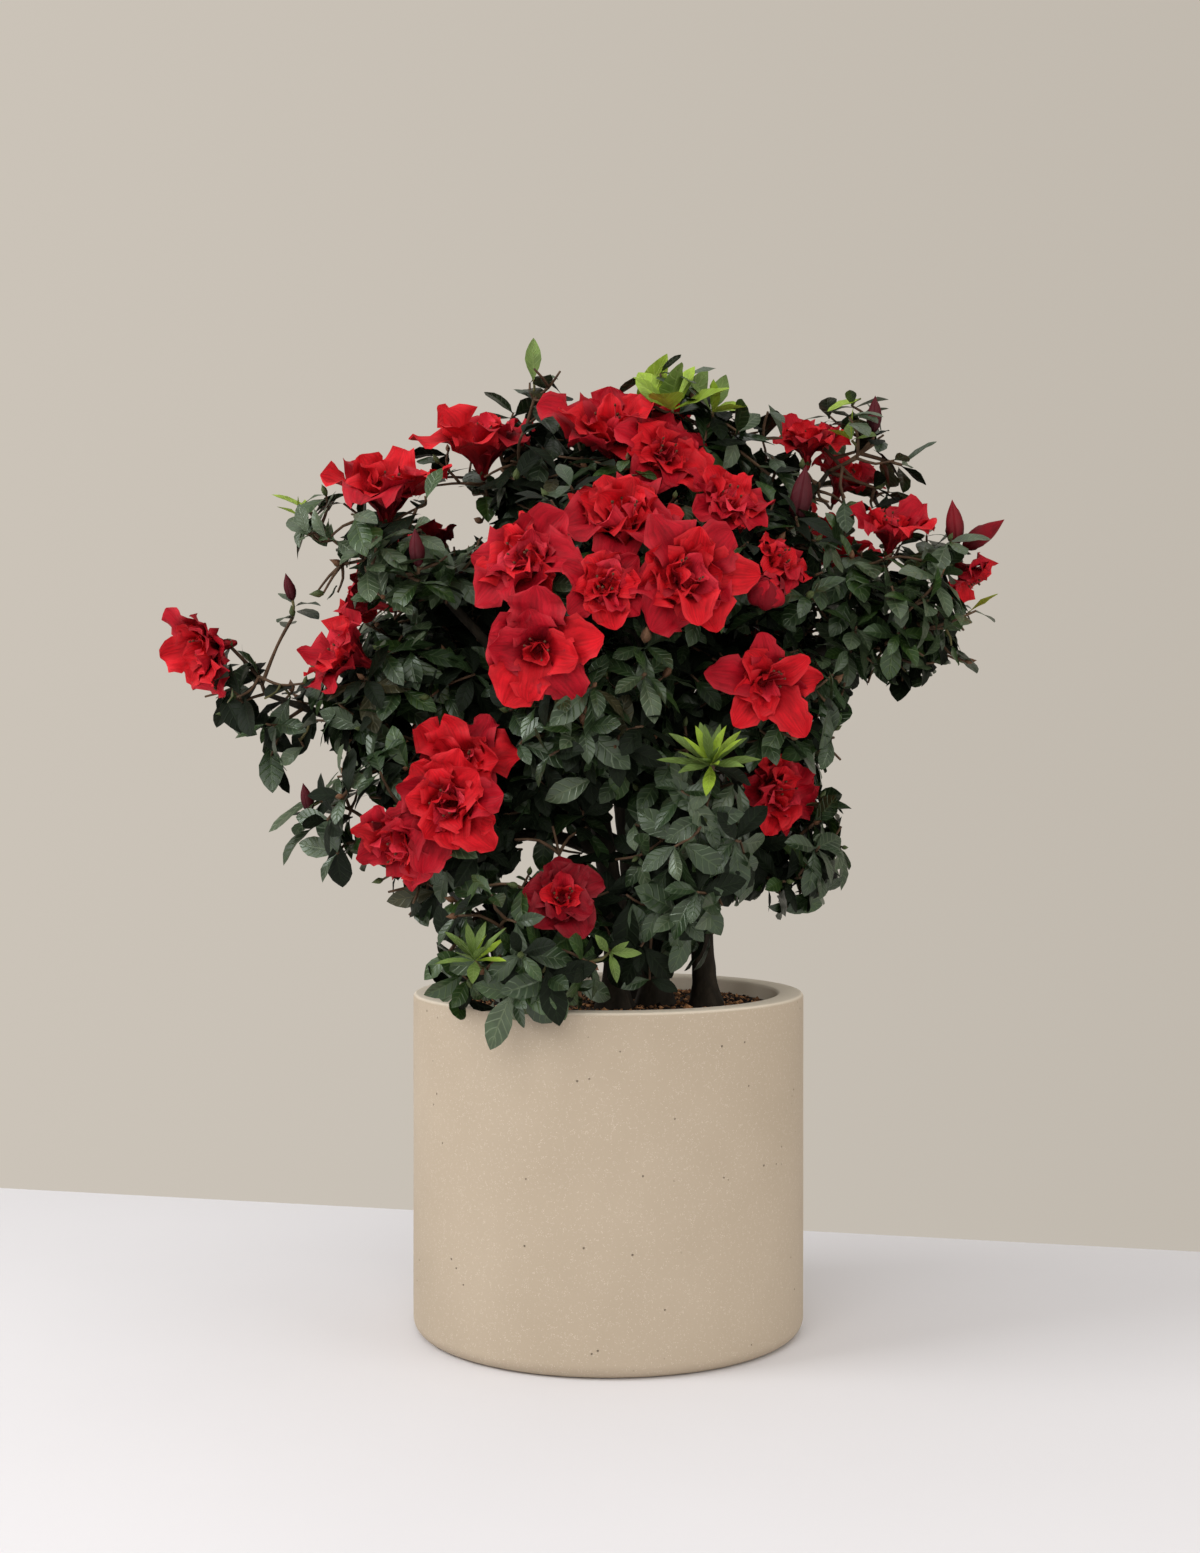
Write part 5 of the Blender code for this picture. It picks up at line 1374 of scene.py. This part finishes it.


# ---------------------------------------------------------------- the plant
# Materials in the order of their slots. Leaves: name, tone, tone of the veins, roughness and gloss.
# Petals and threads: name, tone, tone of the foot, which is painted shade and also tints the veins, and the
# sheen of those that differ in it.
LEAF_TONES = [("leaf_dark", (0.013, 0.030, 0.008), (0.070, 0.108, 0.042), 0.34, 0.72),
              # a near-black tone of painted shade for leaves deep in the crown, also dealt now and then
              # outside it
              ("leaf_painted_shade", (0.003, 0.006, 0.002), (0.012, 0.021, 0.008), 0.58, 0.18),
              ("leaf_grey", (0.040, 0.064, 0.028), (0.145, 0.182, 0.094), 0.36, 0.80),
              ("leaf_green", (0.020, 0.049, 0.008), (0.090, 0.140, 0.036), 0.35, 0.70),
              ("leaf_bronze", (0.030, 0.028, 0.011), (0.090, 0.080, 0.034), 0.40, 0.45)]
YOUNG_TONES = [("leaf_lime", (0.275, 0.405, 0.034), (0.400, 0.510, 0.090), 0.50),
               ("leaf_light", (0.122, 0.190, 0.040), (0.235, 0.310, 0.095), 0.50),
               ("bud_scale_green", (0.070, 0.095, 0.030), (0.140, 0.150, 0.060), 0.55),
               ("bud_scale_brown", (0.150, 0.070, 0.035), (0.240, 0.120, 0.070), 0.60)]
PETAL_TONES = [("petal_scarlet", (0.540, 0.006, 0.013), (0.140, 0.001, 0.005)),
               ("petal_crimson", (0.390, 0.004, 0.014), (0.100, 0.001, 0.005)),
               ("petal_deep", (0.190, 0.002, 0.008), (0.060, 0.001, 0.003)),
               ("petal_rose", (0.600, 0.022, 0.042), (0.180, 0.003, 0.010)),
               ("petal_wine", (0.075, 0.004, 0.009), (0.034, 0.002, 0.005), 0.0),
               ("thread_pink", (0.480, 0.050, 0.060), (0.300, 0.020, 0.030)),
               ("thread_tip", (0.120, 0.050, 0.030), (0.100, 0.040, 0.020))]

# Petal slots that each ring of a bloom is dealt, from the outer ring to the inner one.
BLOOM_TONE = [(0, 1, 1), (0, 1, 0), (0, 0, 3), (0, 3)]
WINE_TONE = [(2, 1), (1, 2), (1, 0), (1, 0)]
DARK_TONE = [(1, 2, 2), (1, 1, 2), (1, 0), (1, 0)]

# Leaf slots that a rosette is dealt: deep inside a mass, half way out, and at its outside. Slot 1 is
# near-black painted shade.
INNER_SPRAY = (1, 1, 1, 0)
MIDDLE_SPRAY = (1, 0, 1, 3)
SPRAYS = [(0, 0, 1, 2), (0, 1, 1, 0), (2, 0, 2, 0), (0, 3, 0, 2), (1, 0, 1, 4)]
LIGHT_SPRAYS = {"mass_right_arm": (2, 3, 0, 2), "mass_bottom_left": (0, 3, 3, 1),
                "mass_right_front": (0, 2, 0, 1), "mass_upper_left": (2, 3, 0, 2)}
BUD_SPRAY = (0, 2, 0)

# What sets the blooms of some masses apart: the form of their rings, the seed of their draws, and
# the way that one faces and how far it is moved.
FORMS = {"mass_mid_front": FUNNEL_RINGS, "mass_right": STAR_RINGS, "mass_bottom_left": OPEN_RINGS,
         "mass_left": TALL_RINGS, "mass_left_arm": TALL_RINGS, "mass_centre": DOUBLE_RINGS,
         "mass_lower_left": DOUBLE_RINGS}
BLOOM_SEEDS = {"mass_left_arm": 2, "mass_left": 1, "mass_upper_left": 2, "mass_bottom_left": 3}
AIMED = {"mass_left_arm": ((-0.72, -0.66, -0.20), (0.010, 0.004, 0.000)),
         "mass_bottom_left": ((0.10, -0.90, 0.35), (-0.003, 0.000, 0.003))}
HALF_OPEN = ("mass_mid_right", (0.089, -0.107, 0.443), 0.029)     # the bud that opens: mass, centre, width
BUD_SHARE = 0.86               # length of a closed bud as a share of its solid
SHOWN_YOUNG = ("mass_bottom_left", "mass_right_front")    # their large young rosettes stay clear of leaves
SPARSE = {"mass_left_arm": 0.48}     # masses that keep only a share of their fine shoots
DEEP_FILLS = ("under", "between", "core")       # how the names of the fills start whose leaves get painted shade
LEFT_OF = -0.02                # a mass whose centre lies left of this is on the left side
NEAR_LIMBS, NEAR_BLOOMS = 0.20, 0.22     # how far from a mass's centre others are kept clear of
FILL_LIMBS, FILL_TWIGS = 0.16, 0.07      # how near the limbs and twigs are that a fill grows from
FILL_ABOVE = 0.250             # a fill grows from the boughs above this height
MANY_YOUNG = 10                # a large young rosette has more leaves than this
YOUNG_SPACE = (0.008, 0.034)   # how far along its axis its clear space lies, and its width


def side_of(mass):
    """Which part of the crown a mass belongs to."""
    return "back" if mass.stem == "back" else "left" if mass.centre[0] < LEFT_OF else "right"


def space_at(centre, reach):
    """A space of its own, as a mass that has no stem and no shoots."""
    return Mass(None, 0.0, centre, reach, 0, [])


def grow_stems(barks):
    """The wood of the stems. Gives their points and radii, and their stretches as limbs."""
    stems, limbs = {}, []
    for name, stem in STEMS.items():
        points, radii = stems[name] = flared(stem, stem_points(stem))
        piece = Piece("stem_" + name + "_wood", "bark", barks)
        below = points[0] - UP * 0.003
        add_limb(piece, [below, *points], [radii[0] * 1.04, *radii], STEM_SKIN)
        piece.make("stem_" + name)
        limbs += zip(points, points[1:], radii)
    return stems, limbs


def grow_boughs(barks, stems, limbs):
    """The wood of the boughs, which join the limbs. Gives where and how each enters its mass."""
    piece, entries = Piece("boughs_wood", "bark", barks), {}
    for name, mass in MASSES.items():
        fork, rising, stem_radius = at_height(*stems[mass.stem], mass.fork_height)
        way = bough_points(mass, fork, rising)
        last = len(way) - 1
        sizes = [min(BOUGH_BASE + (BOUGH_TIP - BOUGH_BASE) * i / last, stem_radius * 0.92)
                 for i in range(last + 1)]
        limbs += zip(way, way[1:], sizes)
        heading = (way[-1] - way[-2]).normalized()
        entries[name] = (way[-1] + heading * CLEAR, heading)
        add_limb(piece, way, [sizes[0] * 1.25, *sizes[1:]], BOUGH_SKIN)
    piece.make(*(name.replace("mass", "bough") for name in MASSES))
    return entries


def heads_of(name, blooms, planes, rng):
    """The blooms and large buds of a mass by their feet: direction, rings of the solid, and itself."""
    heads = {}
    for bloom in blooms[name]:
        facing = unit(bloom.facing)
        foot = Vector(bloom.centre) - facing * bloom.width * BLOOM_DEPTH
        heads[foot.freeze()] = (facing, bloom_rings(bloom, planes, rng), bloom)
    for bud in FLOWER_BUDS.get(name, []):
        heads[Vector(bud.foot).freeze()] = (unit(bud.pointing), bud_rings(bud), bud)
    return heads


def spray_for(name, end, rng):
    """The leaf slots of a rosette at this end of a twig, with more painted shade the deeper it lies in its
    mass.
    """
    if in_reach(MASSES[name], end, DEEP_PART):
        return MIDDLE_SPRAY if name in LIGHT_SPRAYS else INNER_SPRAY
    dealt = rng.choice(SPRAYS)
    outside = MIDDLE_SPRAY if in_reach(MASSES[name], end, MIDDLE_PART) else dealt
    return LIGHT_SPRAYS.get(name, outside)


def add_shoot(pieces, name, points, heads, where, rng):
    """The leaves at the end of a twig: a rosette, or a few leaves below a bloom or a large bud."""
    end, arriving = points[-1], (points[-1] - points[-2]).normalized()
    if end.freeze() in heads:
        axis, _, head = heads[end]
        behind, size = 0.004, LEAF * 0.9
        if isinstance(head, Bloom):
            axis, behind, size = (axis + arriving).normalized(), 0.006, LEAF * 0.95
        add_rosette(pieces.leaves, end - arriving * behind, axis, rng.randint(4, 6), size,
                    rng.choice(SPRAYS), where, rng)
        return
    outward = (end - CROWN_CENTRE).normalized()
    axis = (arriving + outward * 0.8 + UP * 0.4).normalized()
    tones = spray_for(name, end, rng)
    count = rng.randint(4, 6) if name in SPARSE else rng.randint(6, 9)
    add_rosette(pieces.leaves, end, axis, count, LEAF * rng.uniform(0.86, 1.10), tones, where, rng)
    if rng.random() < LEAF_BUDS:
        add_leaf_bud(pieces.young, end, axis, rng.uniform(0.005, 0.009), rng.choice((2, 3)))


def add_head(pieces, name, foot, axis, head, rng):
    """The bloom or the large bud that stands on this foot."""
    if isinstance(head, Bloom):
        dark = name == "mass_bottom_left" or (MASSES[name].stem == "back" and rng.random() < 0.3)
        more = SPREAD.get(name, 1.0)
        back = axis * head.width * (max(0, more - 1) * 0.6 + (0.06 if axis.y < -0.8 else 0.0))
        facing, shift = AIMED.get(name, (head.facing, (0, 0, 0)))
        wide = Bloom(Vector(head.centre) - back + Vector(shift), facing, head.width * more)
        own = random.Random(f"{name} bloom {BLOOM_SEEDS[name]}") if name in BLOOM_SEEDS else rng
        add_bloom(pieces, wide, DARK_TONE if dark else BLOOM_TONE, own, foot, FORMS.get(name))
    elif name == HALF_OPEN[0]:
        _, centre, width = HALF_OPEN
        add_bloom(pieces, Bloom(centre, head.pointing, width), WINE_TONE, rng, foot, HALF_OPEN_RINGS)
    else:
        bud = head._replace(length=head.length * BUD_SHARE)
        add_flower_bud(pieces, bud, 2 if name == "mass_right_arm" else 4, rng)


def add_leaf_tip(pieces, knots, tip, length, young, rng):
    """A single leaf that ends at this place, on a stalk of its own."""
    tip = Vector(tip)
    way = (tip - nearest_knot(knots, tip)[0]).normalized()
    base = tip - (way - UP * 0.15 * (way.z < 0.3)).normalized() * length
    add_limb(pieces.twigs, short_twig(knots, base, rng), LEAF_STALK, STALK_SKIN)
    face = (UP if abs(way.z) < 0.7 else Vector((way.x * 0.5, -1, 0))) + Vector((0, -0.35, 0))
    if young:
        add_leaf(pieces.young, base, tip - base, face, length, length * 0.40, rng.choice((0, 0, 1)),
                 rng, bend=0.15, fold=0.45, young=True)
    else:
        add_leaf(pieces.leaves, base, tip - base, face, length, length * LEAF_SHAPE,
                 rng.choice(SPRAYS[0]), rng, bend=0.2)


def add_small_bud(pieces, knots, foot, pointing, length, tone, where, rng):
    """A small bud on a stalk, with leaves round its foot: of petals, or of scales without a tone."""
    bud, foot, axis = FlowerBud(foot, pointing, length), Vector(foot), unit(pointing)
    add_limb(pieces.twigs, short_twig(knots, foot, rng), BUD_STALK, STALK_SKIN)
    if tone is None:
        add_leaf_bud(pieces.young, foot, axis, length, 3)
    else:
        add_flower_bud(pieces, bud, tone, rng)
    around = where._replace(mass=space_at(bud.foot, (0.05, 0.05, 0.05)), planes=[])
    add_rosette(pieces.leaves, foot - axis * 0.003, axis, 6, LEAF * 0.9, BUD_SPRAY, around, rng)


def grow_mass(name, root, heading, blooms, bloom_room, limbs, pieces):
    """All that grows in one mass. Gives its leader and its twigs."""
    planes = cell_planes(name, blooms)
    mass, centre = MASSES[name], Vector(MASSES[name].centre)
    centre = root + (centre - root) * min(1.0, share_inside(planes, root, centre) * 0.95)
    rng = random.Random(f"{name} 0")
    shoots = shoot_places(mass, root, planes, rng)
    heads = heads_of(name, blooms, planes, rng)
    blockers = [BVHTree.FromPolygons(*rings_solid(foot, *head[1])) for foot, head in heads.items()]
    ends = [(place, None) for place in shoots] + [(foot, head[0]) for foot, head in heads.items()]
    leader, *twigs = grow_twigs(root, heading, centre, ends, limbs, blockers, rng)

    fine = random.Random(name + " fine")
    where = Where(mass, planes, near_to(centre, limbs, NEAR_LIMBS),
                  near_to(centre, bloom_room, NEAR_BLOOMS))
    used = [points[0] for points in twigs]
    twigs = [points for points in twigs if points[-1].freeze() in heads or not seen_through(points[-1])
             or any((start - spot).length < 0.001 for start in used for spot, _ in knots_of([points]))]
    places = fine_places(where, [points[-1] for points in twigs], fine)
    places = places[:round(len(places) * SPARSE.get(name, 1.0))]
    small = grow_fine(root, [leader, *twigs], places, where.limbs, fine)
    add_limb(pieces.twigs, leader, [BOUGH_TIP, BOUGH_TIP * 0.85, TWIG_BASE, TWIG_BASE * 0.7],
             LEADER_SKIN)
    for points in twigs:
        sizes = [TWIG_BASE * 0.72] + [TWIG_TIP * 0.85] * (len(points) - 1)
        add_limb(pieces.twigs, points, sizes, TWIG_SKIN)
    for points in small:
        add_limb(pieces.twigs, points, FINE_TWIG, FINE_SKIN)
    for points in [*twigs, *small]:
        add_shoot(pieces, name, points, heads, where, fine)
    for foot, (axis, _, head) in heads.items():
        add_head(pieces, name, foot, axis, head, fine)

    knots = knots_of([leader, *twigs, *small])
    for row in LEAF_TIPS.get(name, []):
        add_leaf_tip(pieces, knots, *row, fine)
    for young in YOUNG.get(name, []):
        add_limb(pieces.twigs, short_twig(knots, Vector(young.place), fine), YOUNG_STALK, STALK_SKIN)
        add_young(pieces.young, young, fine)
    for row in SMALL_BUDS.get(name, []):
        add_small_bud(pieces, knots, *row, where, fine)
    return [leader, *twigs]


def add_fill(pieces, name, limbs, twigs, blooms):
    """Short leafy shoots that leave the nearest boughs and twigs."""
    centre, reach, count, turned_to = FILLS[name]
    rng, middle = random.Random(name), Vector(centre)
    where = Where(space_at(centre, reach), [], near_to(middle, limbs, FILL_LIMBS), blooms)
    places = fine_places(where, [], rng)[:count]
    lines = [[a, b] for a, b, _ in where.limbs if a.z > FILL_ABOVE]
    lines += [points for points in twigs if (points[-1] - middle).length < FILL_TWIGS]
    for points in grow_fine(middle, lines, places, where.limbs, rng):
        add_limb(pieces.twigs, points, FINE_TWIG, FINE_SKIN)
        axis = ((points[-1] - points[-2]).normalized() * 0.6 + Vector(turned_to)).normalized()
        count, size = rng.randint(6, 8), LEAF * rng.uniform(0.86, 1.05)
        # fills under, between and in the core of the crown get painted shade
        tones = INNER_SPRAY if name.startswith(DEEP_FILLS) else rng.choice(SPRAYS)
        add_rosette(pieces.leaves, points[-1], axis, count, size, tones, where, rng)


def make_plant():
    """The stems, the boughs and all that grows on them, in joined pieces."""
    barks = [rough_material(*row) for row in BARKS]
    leaf_finishes = [leaf_material(*row) for row in LEAF_TONES]
    young_finishes = [leaf_material(*row) for row in YOUNG_TONES]
    petal_finishes = [petal_material(*row) for row in PETAL_TONES]
    twigs = Piece("twigs", "bark", barks)
    young = Piece("young_leaves_and_buds", "foliage", young_finishes)
    front, back = (Piece("blooms_" + part, "foliage", petal_finishes) for part in ("front", "back"))
    sides = {side: Pieces(twigs, young, back if side == "back" else front,
                          Piece("leaves_" + side, "foliage", leaf_finishes, LEAF_CREASE))
             for side in ("left", "right", "back")}

    stems, limbs = grow_stems(barks)
    entries = grow_boughs(barks, stems, limbs)
    blooms = all_blooms()
    room = [(Vector(b.centre), unit(b.facing), b.width * SPREAD.get(name, 1.0))
            for name, some in blooms.items() for b in some]
    along, width = YOUNG_SPACE
    room += [(Vector(y.place) + unit(y.pointing) * along, unit(y.pointing), width)
             for name in SHOWN_YOUNG for y in YOUNG[name] if y.count > MANY_YOUNG]
    all_twigs = []
    for name, (root, heading) in entries.items():
        all_twigs += grow_mass(name, root, heading, blooms, room, limbs, sides[side_of(MASSES[name])])
    for name in FILLS:
        add_fill(sides["left"], name, limbs, all_twigs, room)
    for piece in (twigs, young, front, back):
        piece.make()
    for side, pieces in sides.items():
        pieces.leaves.make(*(name for name, mass in MASSES.items() if side_of(mass) == side))


# ---------------------------------------------------------------- floor, light and camera
SENSOR, LENS = 36.0, 46.94     # width and focal length in millimetres, fitted to the photo
GROUND_HALF = 8.0              # half of the floor's width
GROUND_BACK, GROUND_SLANT = 0.293, 0.243     # where its back edge crosses the middle, and its slant
GROUND_TONES = [(0.3, (0.766, 0.753, 0.774)), (0.7, (0.784, 0.771, 0.792))]
WALL_TONES = [(0.36, (0.597, 0.546, 0.479)), (0.64, (0.533, 0.487, 0.425))]      # left to right
ABOVE_TONE = (0.160, 0.155, 0.150)           # the light above the wall
ABOVE_FROM = (0.42, 0.60)                    # where the wall fades into it
AIM = Vector((0, 0, 0.3))      # where the lights look

# Each light: kind, power, colour, place and its other settings. The sun has a turn and no place.
LIGHTS = {
    "key": ("AREA", 17.6, (0.975, 0.985, 1.0), (-1.5, -0.50, 1.25), {"size": 0.9}),
    "front": ("AREA", 19, (1.0, 0.99, 0.98), (-0.3, -1.9, 1.5), {"size": 1.7}),
    "overhead": ("SUN", 1.05, (1.0, 0.982, 0.952), None, {"angle": math.radians(75)}),
    "right": ("AREA", 10, (1.0, 0.99, 0.97), (1.7, -1.1, 1.0), {"size": 1.3}),
}
OVERHEAD_TURN = (math.radians(-8), math.radians(3), 0)


def make_lights():
    """Three soft lights turned to the crown, and a wide sun overhead."""
    for name, (kind, power, colour, place, settings) in LIGHTS.items():
        data = bpy.data.lights.new(name, kind)
        data.energy, data.color = power, colour
        for key, value in settings.items():
            setattr(data, key, value)
        light = linked(name, data)
        if place is None:
            light.rotation_euler = OVERHEAD_TURN
        else:
            light.location = place
            light.rotation_euler = (AIM - Vector(place)).to_track_quat("-Z", "Y").to_euler()


def make_floor():
    """The pale floor, which ends in a slanting line at the back."""
    mesh, far, drop = bpy.data.meshes.new("floor"), GROUND_HALF, GROUND_SLANT * GROUND_HALF
    corners = [(-far, -far, 0), (far, -far, 0), (far, GROUND_BACK - drop, 0), (-far, GROUND_BACK + drop, 0)]
    mesh.from_pydata(corners, [], [(0, 1, 2, 3)])
    made, tree, shader = new_material("floor_paint")
    dress(tree, shader, ramp(tree, blotches(tree, 3), GROUND_TONES), 3, (0.7, 0.9), [], **{GLOSS: 0.2})
    mesh.materials.append(made)
    linked("floor", mesh)


def make_studio():
    """The wall as the world's light near the horizon, and a plain grey above it."""
    world = bpy.data.worlds.new("studio")
    bpy.context.scene.world = world
    world.use_nodes = True
    tree = world.node_tree
    way = node(tree, "SeparateXYZ", {"Vector": node(tree, "TexCoord").outputs["Generated"]}).outputs
    wall = ramp(tree, remap(tree, way["X"], (-1.0, 1.0)), WALL_TONES)
    studio = mixed(tree, remap(tree, way["Z"], ABOVE_FROM), wall, ABOVE_TONE)
    tree.links.new(studio, tree.nodes["Background"].inputs["Color"])


def make_camera():
    """The camera that the photo was fitted to. It looks level along +Y."""
    data = bpy.data.cameras.new("camera")
    data.sensor_width, data.lens, data.clip_start = SENSOR, LENS, 0.01
    camera = linked("camera", data)
    camera.location = VIEW
    camera.rotation_euler = (math.pi / 2, 0, 0)
    bpy.context.scene.camera = camera
    bpy.context.scene.view_settings.view_transform = "Standard"


make_planter()
make_soil()
make_plant()
make_floor()
make_lights()
make_studio()
make_camera()
